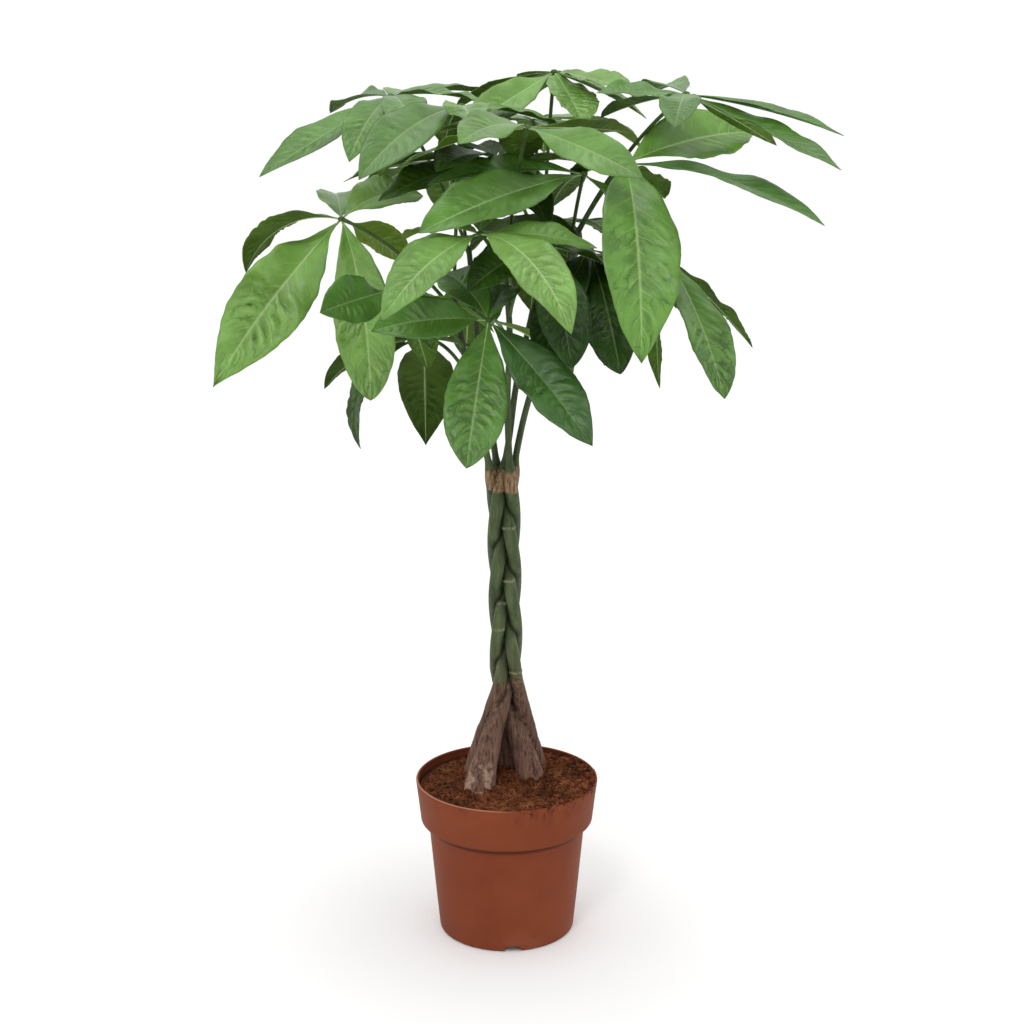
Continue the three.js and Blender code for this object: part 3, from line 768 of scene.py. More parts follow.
def makeLumps(finish):
    placements = [*looseLumps(), *rimLumps(), *spiltLumps()]
    for stem in stems.values():
        placements += footLumps(stem)
    placements += bandCrumbs()
    return scatter("lumps", lumpModels(), placements, finish)


def lyingFibres():
    own = soil["fibres"]
    for i in range(own["count"]):
        length = random.uniform(*own["length"])
        spot = onSoil(random.uniform(*own["lift"]))
        if random.random() > 0.55 + 1.6 * noise.noise(spot * 42):
            continue  # they lie in tangles with barer soil between
        size = Matrix.Diagonal((length, 0.6 * length, 0.6 * length, 1))
        number = random.randrange(len(soil["fibreBends"]))
        yield number, Matrix.Translation(spot) @ randomTurn(own["tumble"]) @ size


def hangingFibres():
    # threads over the rim, most of them at the front right
    own = soil["hangingFibres"]
    for i in range(own["count"]):
        turn = math.radians(random.gauss(*own["turn"]))
        length = random.uniform(*own["length"])
        x, y = around((0, 0), turn, pot["rimRadius"] - 0.0015)
        place = Matrix.Translation((x, y, pot["height"] + 0.0002))
        hang = Matrix.Rotation(turn + math.radians(random.gauss(0, own["swing"])), 4, "Z")
        droop = Matrix.Rotation(math.radians(random.uniform(*own["droop"])), 4, "Y")
        size = Matrix.Diagonal((length, 0.7 * length, 0.7 * length, 1))
        yield random.randrange(len(soil["fibreBends"])), place @ hang @ droop @ size


def makeSoil():
    random.seed(soil["seed"])
    finish = soilFinish()
    body = makeSoilBody(finish)
    lumps = makeLumps(finish)
    handOver(joinPieces([body, lumps]), "coir_soil", "soil", "soil")
    fibres = scatter("fibres", fibreModels(), [*lyingFibres(), *hangingFibres()], fibreFinish())
    handOver(fibres, "coir_fibres", "soil", "soil")
    print("soil ready")


makeSoil()

braid = {
    "radiusX": 0.0095,  # the stems weave in a figure of eight, seen from above
    "radiusY": 0.013,
    "period": 0.275,
    "phaseHeight": 0.305,
    "bottom": 0.248,
    "top": 0.432,
    "lean": -0.003,
    "stemRadius": 0.0059,
    "ringRadius": 0.0063,
    "shootRadius": 0.003,
    "tipRadius": 0.0024,
    "rootDepth": 0.092,
    "rootSplay": 1.15,
    "rootShare": 0.85,
    "gather": (0.42, 0.45),  # how far in and how far up the knot between foot and braid lies
    "footTaper": 0.7,
    "knots": 10,
    "ringRise": 0.02,  # height in which a stem widens to its woody ring
    "ringTop": 0.436,
    "shootFlare": 0.022,  # height in which a shoot narrows down from its ring
    "shootLength": 0.22,
    "steps": 460,
    "sides": 44,
    "scarLift": 0.0005,
    "scarHalfWidth": 0.0011,
    "tuckReach": 0.009,  # painted shade darkens a stem where another one is nearer than this
    "tuckPower": 1.6,
}

# the coat's colours by height, and what lies on it
bark = {
    "relief": [(0.0028, 0.0009, 9), (0.014, 0.0020, 2)],  # size, depth and how far it is drawn out
    "roughFoot": (0.215, 0.25),  # fissured up to the first height, and smooth from the second on
    "roughRing": (0.424, 0.43, 0.442, 0.447),
    "ringRoughness": 0.7,
    "leastRoughness": 0.1,
    "span": (0.12, 0.66),
    "coat": [(0.140, paint(124, 92, 76)), (0.165, paint(110, 80, 68)), (0.200, paint(98, 73, 60)),
             (0.241, paint(98, 74, 58)), (0.247, paint(74, 76, 48)), (0.30, paint(66, 80, 46)),
             (0.42, paint(62, 78, 43)), (0.6, paint(42, 57, 27))],
    "barkEnds": (0.242, 0.249),
    "fissure": paint(42, 28, 24),
    "ridge": paint(146, 122, 108),
    "streak": paint(106, 114, 82),
    "scratch": paint(32, 38, 22),
    "greenPatch": paint(40, 46, 28),
    "barkPatch": paint(52, 35, 30),
    "flakes": paint(178, 150, 128),
    "flakePlace": (-0.026, -0.032, 0.152),
    "tuckShade": paint(20, 22, 13),
    "scab": (paint(58, 42, 30), paint(120, 98, 74)),
    "scabPlace": (0.009, -0.014, 0.247),
    "wood": [(0.34, paint(44, 33, 21)), (0.48, paint(116, 92, 65)), (0.68, paint(162, 134, 102))],
    "ringEdges": (0.4262, 0.4284, 0.4446, 0.4472),
    "scar": paint(138, 134, 104),
}


def braidPoint(phase, height):
    turn = math.radians(phase + 360 * (braid["phaseHeight"] - height) / braid["period"])
    lean = braid["lean"] * (height - braid["bottom"]) / (braid["top"] - braid["bottom"])
    return Vector((lean + braid["radiusX"] * math.sin(turn), -braid["radiusY"] * math.sin(2 * turn), height))


def stemKnots(stem):
    # root, foot, half way up to the braid, along the braid and up the shoot
    footX, footY = stem["foot"]
    start = braidPoint(stem["phase"], braid["bottom"])
    inward, upward = braid["gather"]
    knots = [
        Vector((braid["rootSplay"] * footX, braid["rootSplay"] * footY, braid["rootDepth"])),
        Vector((footX, footY, soil["level"])),
        Vector((mixValue(footX, start.x, inward), mixValue(footY, start.y, inward),
                mixValue(soil["level"], braid["bottom"], upward))),
    ]
    for i in range(braid["knots"] + 1):
        knots.append(braidPoint(stem["phase"], mixValue(braid["bottom"], braid["top"], i / braid["knots"])))
    return knots + [Vector(point) for point in stem["shoot"]]


def alongKnots(knots, t):
    # a centripetal Catmull-Rom curve through the knots
    last = len(knots) - 1
    spot = min(int(last * t), last - 1)
    w = last * t - spot
    b, c = knots[spot], knots[spot + 1]
    a = knots[spot - 1] if spot else 2 * b - c
    d = knots[spot + 2] if spot + 2 <= last else 2 * c - b
    ab, bc, cd = (math.sqrt((q - p).length) for p, q in ((a, b), (b, c), (c, d)))
    leave = ((b - a) / ab - (c - a) / (ab + bc) + (c - b) / bc) * bc
    arrive = ((c - b) / bc - (d - b) / (bc + cd) + (d - c) / cd) * bc
    square = 3 * (c - b) - 2 * leave - arrive
    cube = 2 * (b - c) + leave + arrive
    return b + leave * w + square * w ** 2 + cube * w ** 3


def stemRadius(stem, height):
    foot, level, thin = stem["footRadius"], soil["level"], braid["stemRadius"]
    bottom, top, ringTop = braid["bottom"], braid["top"], braid["ringTop"]
    if height < level:
        return foot * mixValue(braid["rootShare"], 1, smoothStep(height, braid["rootDepth"], level))
    if height < bottom:
        return mixValue(foot, thin, ((height - level) / (bottom - level)) ** braid["footTaper"])
    if height < ringTop:
        return mixValue(thin, braid["ringRadius"], smoothStep(height, top - braid["ringRise"], top))
    flareTop = ringTop + braid["shootFlare"]
    share = max(0, height - flareTop) / braid["shootLength"]
    taper = mixValue(braid["shootRadius"], braid["tipRadius"], share)
    return mixValue(braid["ringRadius"], taper, smoothStep(height, ringTop, flareTop))


def scarShare(stem, height):
    nearness = [math.exp(-((height - scar) / braid["scarHalfWidth"]) ** 2) for scar in stem["scars"]]
    return max(nearness, default=0)


def barkShare(height):
    # how rough the bark is: fissured at the foot and on the woody ring, nearly smooth between
    start, full, ebb, end = bark["roughRing"]
    barkEnds, smoothFrom = bark["roughFoot"]
    ring = bark["ringRoughness"] * smoothStep(height, start, full) * smoothStep(-height, -end, -ebb)
    return max(bark["leastRoughness"], smoothStep(-height, -smoothFrom, -barkEnds), ring)


stemCurves = {
    name: [alongKnots(stemKnots(stem), i / braid["steps"]) for i in range(braid["steps"] + 1)]
    for name, stem in stems.items()
}

# each stem's middle and radius at every millimetre of height
stemSections = {
    name: {round(point.z * 1000): (point.x, point.y, stemRadius(stems[name], point.z)) for point in curve}
    for name, curve in stemCurves.items()
}


def tuckShare(name, place):
    # how closely another stem presses on this one
    nearest = braid["tuckReach"]
    for other, sections in stemSections.items():
        section = sections.get(round(place.z * 1000))
        if other != name and section:
            nearest = min(nearest, math.hypot(place.x - section[0], place.y - section[1]) - section[2])
    return min(1, 1 - nearest / braid["tuckReach"]) ** braid["tuckPower"]


def stemFinish():
    finish, tree = newFinish("stemBark")
    place = objectPlace(tree)
    height = addNode(tree, "ShaderNodeSeparateXYZ", {0: place}).outputs["Z"]
    low, high = bark["span"]
    level = calcAdd(tree, calc(tree, "SUBTRACT", cloud(tree, place, 60, 4), 0.5), 0.02, height)
    share = calc(tree, "DIVIDE", calc(tree, "SUBTRACT", level, low), high - low)
    base = ramp(tree, share, [((z - low) / (high - low), colour) for z, colour in bark["coat"]])
    # fissures and pale ridges that run up the bark, soft streaks and scratches on the green stretch
    barkStart, barkEnd = bark["barkEnds"]
    barky = fade(tree, level, barkEnd, barkStart)
    smooth = fade(tree, barky, 1, 0)
    grainPlace = objectPlace(tree, (1, 1, 0.05))
    grain = cloud(tree, grainPlace, 420, 6, 0.68)
    base = tint(tree, base, bark["fissure"], 0.75, fade(tree, grain, 0.49, 0.39), barky)
    base = tint(tree, base, bark["ridge"], 0.45, fade(tree, grain, 0.54, 0.66), barky)
    streak = patches(tree, grainPlace, 160, 5, 0.38, 0.7)
    base = tint(tree, base, bark["streak"], 0.45, streak, smooth)
    base = tint(tree, base, bark["scratch"], 0.45, fade(tree, grain, 0.46, 0.36), smooth)
    # dark patches, pale flakes low on the left foot, and painted shade where two stems press together
    patch = blend(tree, barky, bark["greenPatch"], bark["barkPatch"])
    base = tint(tree, base, patch, 0.5, patches(tree, place, 48, 5, 0.54, 0.7))
    nearFoot = fade(tree, distanceTo(tree, place, bark["flakePlace"]), 0.03, 0.012)
    base = tint(tree, base, bark["flakes"], 0.7, nearFoot, patches(tree, place, 140, 5, 0.46, 0.6))
    # painted shade between the stems
    base = tint(tree, base, bark["tuckShade"], 0.9, attributeOf(tree, "tuckShadeMask"))
    # a corky scab where the front stem turns to bark
    edge = calcAdd(tree, cloud(tree, place, 300, 4), 0.006, distanceTo(tree, place, bark["scabPlace"]))
    corky = blend(tree, patches(tree, place, 700, 4, 0.4, 0.6), *bark["scab"])
    base = tint(tree, base, corky, 0.85, fade(tree, edge, 0.012, 0.009))
    # the woody ring at the top of the braid: uneven edges and dark upright cracks
    ringLevel = calcAdd(tree, calc(tree, "SUBTRACT", cloud(tree, place, 110, 3), 0.5), 0.008, height)
    wood = ramp(tree, cloud(tree, objectPlace(tree, (1, 1, 0.25)), 380, 5, 0.7), bark["wood"])
    base = blend(tree, within(tree, ringLevel, *bark["ringEdges"]), base, wood)
    base = tint(tree, base, bark["scar"], 0.75, attributeOf(tree, "scar"),
                patches(tree, place, 260, 3, 0.36, 0.56))
    lines = bumpFrom(tree, grain, 0.6, 0.0012)
    pores = bumpFrom(tree, cloud(tree, place, 900, 3), 0.25, 0.0003, lines)
    plugShader(tree, base, calcAdd(tree, barky, 0.3, 0.52), 0.2, pores)
    return finish


def roughen(piece, size, depth, stretch, group):
    # pushes the surface in and out by a cloud pattern, drawn out along Z by stretch
    pattern = bpy.data.textures.new("roughness", "CLOUDS")
    pattern.noise_scale = size
    pattern.noise_depth = 3
    ruler = addToScene("ruler", None)
    ruler.scale = (1, 1, stretch)
    bpy.context.view_layer.update()
    push = piece.modifiers.new("push", "DISPLACE")
    push.texture = pattern
    push.texture_coords = "OBJECT"
    push.texture_coords_object = ruler
    push.strength = depth
    push.mid_level = 0.5
    push.vertex_group = group
    applyModifiers(piece)
    bpy.data.objects.remove(ruler)


def makeStem(name, finish):
    stem = stems[name]
    points = stemCurves[name]
    radii = [stemRadius(stem, p.z) + braid["scarLift"] * scarShare(stem, p.z) for p in points]
    piece = drawTubes(name, [(points, radii)], braid["sides"])
    barky = piece.vertex_groups.new(name="barky")
    for vertex in piece.data.vertices:
        barky.add([vertex.index], barkShare(vertex.co.z), "REPLACE")
    storeValues(piece.data, "scar", [scarShare(stem, vertex.co.z) for vertex in piece.data.vertices])
    # how strongly painted shade darkens each point where other stems press close
    storeValues(piece.data, "tuckShadeMask", [tuckShare(name, vertex.co) for vertex in piece.data.vertices])
    for size, depth, stretch in bark["relief"]:
        roughen(piece, size, depth, stretch, "barky")
    smoothShade(piece)
    cover(piece, finish)
    handOver(piece, "stem_" + name[-1], "stem", name)


def makeStems():
    finish = stemFinish()
    for name in stems:
        makeStem(name, finish)
    print("stems ready")


makeStems()

blade = {
    "fold": 13,  # degrees that each half of a leaflet stands up from its midrib
    "inset": 0.0026,  # a blade starts this far out from the middle of its hub
    "stations": 76,
    "columns": 20,
    "thickness": 0.0004,
    "veins": 13,
    "veinSlant": 0.13,  # how far up the blade a vein gets on its way to the edge
    "veinHook": 0.05,  # and how much more of that near the edge
    "veinShift": 0.4,  # the two sides' veins leave the midrib by turns
    "pucker": 0.0017,  # how far the blade bulges between two veins
    "dent": 0.0022,  # how far the blade sags and swells more widely
    "widest": 0.55,
    "fullWidth": 0.044,
    "leastHalf": (0.0011, 0.00010),  # half width at the foot and at the tip
    "ribRadius": 0.00072,
    "ribTipRadius": 0.00012,
    "ribSteps": 30,
    "ribEnd": 0.97,
    "flatModels": 4,
    "seed": 5,
    "waves": (3.0, 6.0),  # along the margin, and how high they are against the half width
    "waviness": (0.10, 0.30),
    "jag": (0.02, 0.07),
    "puckering": (0.7, 1.2),
    "quiltedSlope": (12, 36),  # hanging leaflets are quilted more than level ones
    "dryTips": 0.14,  # share of the leaflets
    "probes": (1, 0.93, 0.5),  # a grown leaflet's midrib lies near its node's surface at these fractions
    "probeReach": 0.0017,
}
stalk = {
    "radius": 0.0019,
    "hubRadius": 0.0034,
    "hubFlatness": 0.7,
    "bow": (0.45, 0.62),  # how far out and how far up its middle lies
    "slimness": 0.86,
    "footSwelling": (0.45, 0.06),  # strength and reach, against the radius and the length
    "hubSwelling": (0.3, 0.05),
    "steps": 26,
    "sides": 12,
    "tones": [(0.3, paint(42, 66, 22)), (0.65, paint(70, 100, 40))],
    "specks": paint(100, 120, 74),
}

# hub: where the leaflets meet. stem: what bears the leaf, joined at height joint. lift: how far the stalk
# arches above the straight line to the hub. A leaflet is (azimuth, slope, span, arch, width, roll, point):
# the direction from the hub, 0 to the right and -90 to the front; how steeply its tip lies below the hub;
# the distance to the tip; how much the midrib bends on the way; the greatest width; how far the blade
# turns about its midrib, left edge up; and how pointed the tip is.
leaves = {
    "leaf_a": {"hub": (-0.147, 0.036, 0.666), "stem": "trunk_5", "joint": 0.588, "lift": 0.01,
               "green": "light", "leaflets": [
                    (-155, 49, 0.186, 14, 0.066, -72, 1.2), (-68, 64, 0.166, 55, 0.054, 27, 0.75),
                    (172, 30, 0.1, 80, 0.052, 16, 1), (21, 36, 0.074, 18, 0.046, -34, 1),
                    (49, -6, 0.104, 44, 0.049, 28, 1), (98, -6, 0.1, 30, 0.04, 0, 1)]},
    "leaf_f": {"hub": (0.098, -0.09, 0.726), "stem": "trunk_2", "joint": 0.646, "lift": 0,
               "green": "mid", "leaflets": [
                    (-86, 50, 0.187, 72, 0.067, -12, 1), (47, -7, 0.149, 18, 0.058, 38, 1),
                    (-39, 11, 0.192, 28, 0.037, 5, 1), (60, 25, 0.082, 8, 0.034, 0, 1),
                    (100, 18, 0.09, 20, 0.036, 0, 1), (140, 16, 0.112, 30, 0.04, 0, 1)]},
    "leaf_i": {"hub": (-0.014, -0.15, 0.606), "stem": "trunk_3", "joint": 0.56, "lift": 0.01,
               "green": "mid", "leaflets": [
                    (-100, 47, 0.136, 10, 0.052, -18, 0.8), (-46, 36, 0.143, 12, 0.046, 30, 1),
                    (-148, 0, 0.105, 20, 0.044, -45, 1), (113, -14, 0.1, 30, 0.04, -20, 1),
                    (80, -19, 0.09, 20, 0.036, 0, 1), (35, 26, 0.11, 30, 0.042, 0, 1)]},
    "leaf_g": {"hub": (-0.021, -0.15, 0.676), "stem": "trunk_3", "joint": 0.606, "lift": 0.01,
               "green": "light", "leaflets": [
                    (-56, 27, 0.14, 60, 0.044, 20, 1), (-125, 23, 0.135, 35, 0.04, -25, 1),
                    (-158, 18, 0.082, 15, 0.034, -35, 1), (16, 9, 0.098, 20, 0.033, 25, 1),
                    (125, 9, 0.115, 30, 0.04, -10, 1), (88, 0, 0.095, 30, 0.038, 0, 1),
                    (58, 20, 0.095, 20, 0.036, 0, 1)]},
    "leaf_e": {"hub": (0.017, -0.11, 0.757), "stem": "trunk_3", "joint": 0.632, "lift": 0,
               "green": "light", "leaflets": [
                    (-49, 13, 0.136, 10, 0.036, 45, 1), (-118, 3, 0.11, 30, 0.04, -20, 1),
                    (51, 5, 0.145, 6, 0.028, -25, 1), (130, 2, 0.12, 20, 0.038, -8, 1),
                    (85, 27, 0.105, 30, 0.042, 0, 1), (172, 12, 0.105, 20, 0.036, 0, 1)]},
    "leaf_h": {"hub": (0.065, -0.07, 0.716), "stem": "trunk_2", "joint": 0.628, "lift": 0,
               "green": "mid", "leaflets": [
                    (-141, 12, 0.173, 14, 0.056, -30, 1), (175, 5, 0.13, 30, 0.04, -20, 1),
                    (105, 2, 0.105, 30, 0.038, 0, 1), (-8, 26, 0.1, 20, 0.042, 0, 1)]},
    "leaf_k": {"hub": (-0.038, -0.03, 0.769), "stem": "trunk_5", "joint": 0.606, "lift": 0,
               "green": "light", "leaflets": [
                    (-119, 17, 0.165, 30, 0.045, -30, 1), (-84, 30, 0.09, 20, 0.04, 0, 1),
                    (150, 20, 0.112, 30, 0.042, 0, 1), (100, 22, 0.11, 30, 0.042, 0, 1),
                    (8, 17, 0.085, 20, 0.034, 0, 1), (-150, 28, 0.095, 20, 0.038, -20, 1)]},
    "leaf_c": {"hub": (0.042, 0.04, 0.794), "stem": "trunk_4", "joint": 0.652, "lift": 0,
               "green": "light", "leaflets": [
                    (-135, 17, 0.12, 3, 0.036, -38, 1), (59, 13, 0.114, 8, 0.028, 35, 1),
                    (-74, 30, 0.092, 10, 0.046, -10, 1), (-42, 20, 0.088, 15, 0.038, 10, 1),
                    (-8, 26, 0.088, 15, 0.036, 0, 1), (100, 14, 0.13, 20, 0.042, 0, 1),
                    (150, 20, 0.108, 20, 0.04, 0, 1)]},
    "leaf_b": {"hub": (-0.103, 0.06, 0.772), "stem": "trunk_1", "joint": 0.634, "lift": 0,
               "green": "mid", "leaflets": [
                    (-132, 21, 0.165, 4, 0.038, -12, 1), (-104, 22, 0.126, 30, 0.038, -10, 1),
                    (124, 11, 0.11, 25, 0.034, -12, 1), (-76, 26, 0.116, 40, 0.04, 10, 1),
                    (91, 0, 0.072, 10, 0.028, 0, 1), (35, 7, 0.118, 20, 0.038, 0, 1),
                    (-30, 8, 0.098, 25, 0.036, 0, 1)]},
    "leaf_d": {"hub": (0.148, -0.082, 0.782), "stem": "trunk_2", "joint": 0.653, "lift": 0.006,
               "green": "mid", "leaflets": [
                    (-28, 12, 0.137, 12, 0.03, 0, 1), (-45, 18, 0.164, 6, 0.034, 0, 1),
                    (41, 28, 0.12, 6, 0.024, -20, 1), (187, -1, 0.072, 6, 0.03, -20, 1),
                    (102, 4, 0.112, 30, 0.038, 0, 1), (-100, 14, 0.088, 30, 0.034, 0, 1),
                    (140, 14, 0.1, 15, 0.038, 0, 1)]},
    "leaf_o": {"hub": (0.141, -0.01, 0.637), "stem": "trunk_2", "joint": 0.6, "lift": 0.014,
               "green": "mid", "leaflets": [
                    (-68, 43, 0.15, 27, 0.048, -10, 0.85), (33, 42, 0.13, 10, 0.029, 4, 1),
                    (118, 86, 0.115, 40, 0.022, -20, 1), (125, 34, 0.11, 30, 0.042, 0, 1),
                    (165, 20, 0.09, 30, 0.038, 0, 1)]},
    "leaf_l": {"hub": (0.03, -0.095, 0.661), "stem": "trunk_3", "joint": 0.59, "lift": 0.01,
               "green": "deep", "leaflets": [
                    (-79, 36, 0.14, 30, 0.046, 0, 0.75), (95, 42, 0.118, 30, 0.042, 0, 1),
                    (60, 30, 0.1, 30, 0.038, 0, 1), (0, 28, 0.09, 20, 0.036, 0, 1),
                    (-155, 12, 0.085, 20, 0.038, -35, 1)]},
    "leaf_j": {"hub": (0.071, -0.06, 0.652), "stem": "trunk_2", "joint": 0.612, "lift": 0.024,
               "green": "deep", "leaflets": [
                    (-78, 40, 0.135, 20, 0.046, 20, 0.75), (-112, 37, 0.142, 30, 0.044, 0, 1),
                    (128, -4, 0.119, 50, 0.036, -22, 1), (76, 59, 0.13, 30, 0.042, 0, 1),
                    (25, 34, 0.1, 30, 0.038, 0, 1)]},
    "leaf_n": {"hub": (-0.097, -0.066, 0.618), "stem": "trunk_5", "joint": 0.56, "lift": 0.014,
               "green": "mid", "leaflets": [
                    (-130, 6, 0.084, 5, 0.044, -60, 1), (75, 50, 0.105, 30, 0.038, 0, 1),
                    (30, 30, 0.1, 30, 0.038, 0, 1), (-60, 30, 0.08, 30, 0.034, 0, 1)]},
    "leaf_m": {"hub": (-0.074, 0.02, 0.561), "stem": "trunk_5", "joint": 0.532, "lift": 0.014,
               "green": "deep", "leaflets": [
                    (92, 55, 0.141, 39, 0.055, 7, 1.15), (178, 61, 0.116, 96, 0.03, -35, 1),
                    (152, 28, 0.119, 45, 0.038, 15, 1), (112, 20, 0.1, 30, 0.042, 0, 1),
                    (25, 22, 0.09, 30, 0.04, 0, 1)]},
    "leaf_q": {"hub": (-0.009, 0.01, 0.721), "stem": "trunk_4", "joint": 0.634, "lift": 0,
               "green": "deep", "leaflets": [
                    (-127, 10, 0.13, 30, 0.04, -10, 1), (111, 2, 0.12, 30, 0.04, 0, 1),
                    (61, 8, 0.118, 30, 0.04, 0, 1), (-20, 14, 0.105, 20, 0.038, 0, 1),
                    (-70, 16, 0.105, 20, 0.038, 0, 1), (-165, 18, 0.108, 20, 0.042, -20, 1),
                    (170, 4, 0.11, 20, 0.038, 0, 1)]},
    "leaf_r": {"hub": (-0.055, 0.125, 0.705), "stem": "trunk_1", "joint": 0.62, "lift": 0.01,
               "green": "mid", "leaflets": [
                    (90, 30, 0.142, 40, 0.05, 0, 1), (135, 20, 0.125, 40, 0.046, 0, 1),
                    (45, 20, 0.13, 40, 0.046, 0, 1), (-5, 10, 0.1, 30, 0.04, 0, 1),
                    (175, 14, 0.095, 30, 0.04, 0, 1), (-60, 14, 0.1, 20, 0.042, 0, 1)]},
    "leaf_s": {"hub": (0.048, 0.13, 0.655), "stem": "trunk_4", "joint": 0.61, "lift": 0.012,
               "green": "deep", "leaflets": [
                    (90, 34, 0.145, 40, 0.052, 0, 1), (45, 26, 0.13, 40, 0.046, 0, 1),
                    (135, 20, 0.125, 40, 0.046, 0, 1), (5, 20, 0.095, 30, 0.04, 0, 1),
                    (-130, 18, 0.1, 20, 0.04, 0, 1)]},
    "leaf_t": {"hub": (-0.032, 0.138, 0.606), "stem": "trunk_1", "joint": 0.585, "lift": 0.014,
               "green": "mid", "leaflets": [
                    (95, 45, 0.15, 40, 0.052, 0, 1), (40, 35, 0.135, 40, 0.048, 0, 1),
                    (150, 32, 0.12, 40, 0.046, 0, 1), (-150, 20, 0.08, 30, 0.036, 0, 1),
                    (-80, 24, 0.1, 20, 0.04, 0, 1)]},
    "leaf_u": {"hub": (0.025, 0.12, 0.746), "stem": "trunk_4", "joint": 0.64, "lift": 0.006,
               "green": "light", "leaflets": [
                    (85, 17, 0.138, 40, 0.048, 0, 1), (35, 14, 0.128, 40, 0.044, 0, 1),
                    (140, 14, 0.12, 40, 0.044, 0, 1), (-170, 8, 0.085, 30, 0.038, 0, 1),
                    (-80, 10, 0.095, 20, 0.04, 0, 1)]},
}

# leaflets that are lighter or darker than the rest of their leaf, partly their own tone and partly painted light
# and shade: number in the list above and tone
toneAndPaintedLight = {
    "leaf_a": {0: 1.0, 1: 1.0, 3: 2.5, 4: 2.5},
    "leaf_f": {0: 1.6, 1: 2.5},
    "leaf_i": {1: -3.0},
    "leaf_g": {0: 1.0},
    "leaf_n": {0: -0.6},
    "leaf_h": {0: 0.8},
    "leaf_e": {0: -0.8},
    "leaf_k": {0: -2.2},
    "leaf_l": {0: -2.0},
    "leaf_j": {0: -1.5, 1: -1.5},
    "leaf_c": {0: 0.2},
}

# the leaves' own greens, with the deep one partly painted shade: it is darker to match leaves low in the crown
# and inside it, where shade falls
greens = {
    "light": {
        "gloss": 0.5, "deep": paint(52, 84, 24), "shade": paint(82, 120, 42), "face": paint(104, 150, 62),
        "vein": paint(136, 174, 98), "rib": paint(180, 200, 144),
        "underShade": paint(66, 92, 24), "under": paint(92, 120, 38),
    },
    "mid": {
        "gloss": 0.45, "deep": paint(30, 62, 16), "shade": paint(58, 95, 28), "face": paint(81, 128, 44),
        "vein": paint(118, 158, 80), "rib": paint(162, 188, 130),
        "underShade": paint(54, 80, 20), "under": paint(78, 106, 34),
    },
    "deep": {
        "gloss": 0.28, "deep": paint(16, 36, 6), "shade": paint(32, 56, 12), "face": paint(53, 87, 21),
        "vein": paint(82, 114, 46), "rib": paint(134, 162, 100),
        "underShade": paint(38, 58, 12), "under": paint(54, 76, 20),
    },
}
dryBrown = paint(62, 50, 26)

# how strongly the marks show on the two sides of a blade, among them the painted shade in the wrinkles and the
# painted highlight on the cushions, and how deep its relief is
topSide = {"base": ("shade", "face"), "wrinkleShade": 0.75, "cushionHighlight": 0.2, "vein": 0.55, "roughness": 0.27,
           "groove": 0.0004, "quilt": 0.0013}
underSide = {"base": ("underShade", "under"), "wrinkleShade": 0.4, "cushionHighlight": 0.1, "vein": 0.3, "roughness": 0.55,
             "groove": -0.0004, "quilt": -0.0013, "gloss": 0.08}


def heading(azimuth, rise):
    return Vector((math.cos(rise) * math.cos(azimuth), math.cos(rise) * math.sin(azimuth), math.sin(rise)))


def alongMidrib(hub, leaflet, t):
    # place, way to the left and way up at a fraction t of the midrib, a round arc
    azimuth, slope, span, arch, width, roll, point = leaflet
    turn = math.radians(azimuth)
    bend = math.radians(arch)
    radius = span / 2 / math.sin(bend / 2)
    first = math.radians(-slope) + bend / 2
    rise = first - bend * t
    out = radius * (math.sin(first) - math.sin(rise))
    up = radius * (math.cos(rise) - math.cos(first))
    start = Vector(hub) + heading(turn, first) * blade["inset"]
    place = start + Vector((out * math.cos(turn), out * math.sin(turn), up))
    forward = heading(turn, rise)
    level = Vector((-math.sin(turn), math.cos(turn), 0))
    side = Matrix.Rotation(math.radians(roll) * smoothStep(t, 0, 0.35), 3, forward) @ level
    return place, side, forward.cross(side)


def halfWidth(width, point, t):
    # a narrow foot and widest past the middle
    fullness = blade["widest"] / (1 - blade["widest"])
    widest = fullness / (fullness + point)
    shape = t ** fullness * max(0, 1 - t) ** point / (widest ** fullness * (1 - widest) ** point)
    return max(mixValue(*blade["leastHalf"], smoothStep(t, 0.3, 0.95)), width / 2 * shape)


def bendChoices():
    # the small changes by which a leaflet may have grown clear of its neighbours, the smallest first
    changes = [(azimuth, slope) for slope in range(-40, 41, 5) for azimuth in range(-32, 33, 8)]
    return sorted(changes, key=lambda change: math.hypot(*change))


def grownLeaflets(name):
    # the leaflets of a leaf as its CAD node has them, by their number in the list
    leaf = leaves[name]
    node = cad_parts[name].data
    surface = BVHTree.FromPolygons([v.co for v in node.vertices], [face.vertices for face in node.polygons])
    grown = {}
    for number, (azimuth, slope, *rest) in enumerate(leaf["leaflets"]):
        for azimuthChange, slopeChange in bendChoices():
            bent = (azimuth + azimuthChange, slope + slopeChange, *rest)
            probes = [alongMidrib(leaf["hub"], bent, t)[0] for t in blade["probes"]]
            if all(surface.find_nearest(probe, blade["probeReach"])[0] for probe in probes):
                grown[number] = bent
                break
    return grown


def veinPhase(t, across, left):
    reach = blade["veinSlant"] * across + blade["veinHook"] * across ** 3
    return blade["veins"] * (t - reach) + (blade["veinShift"] if left else 0)


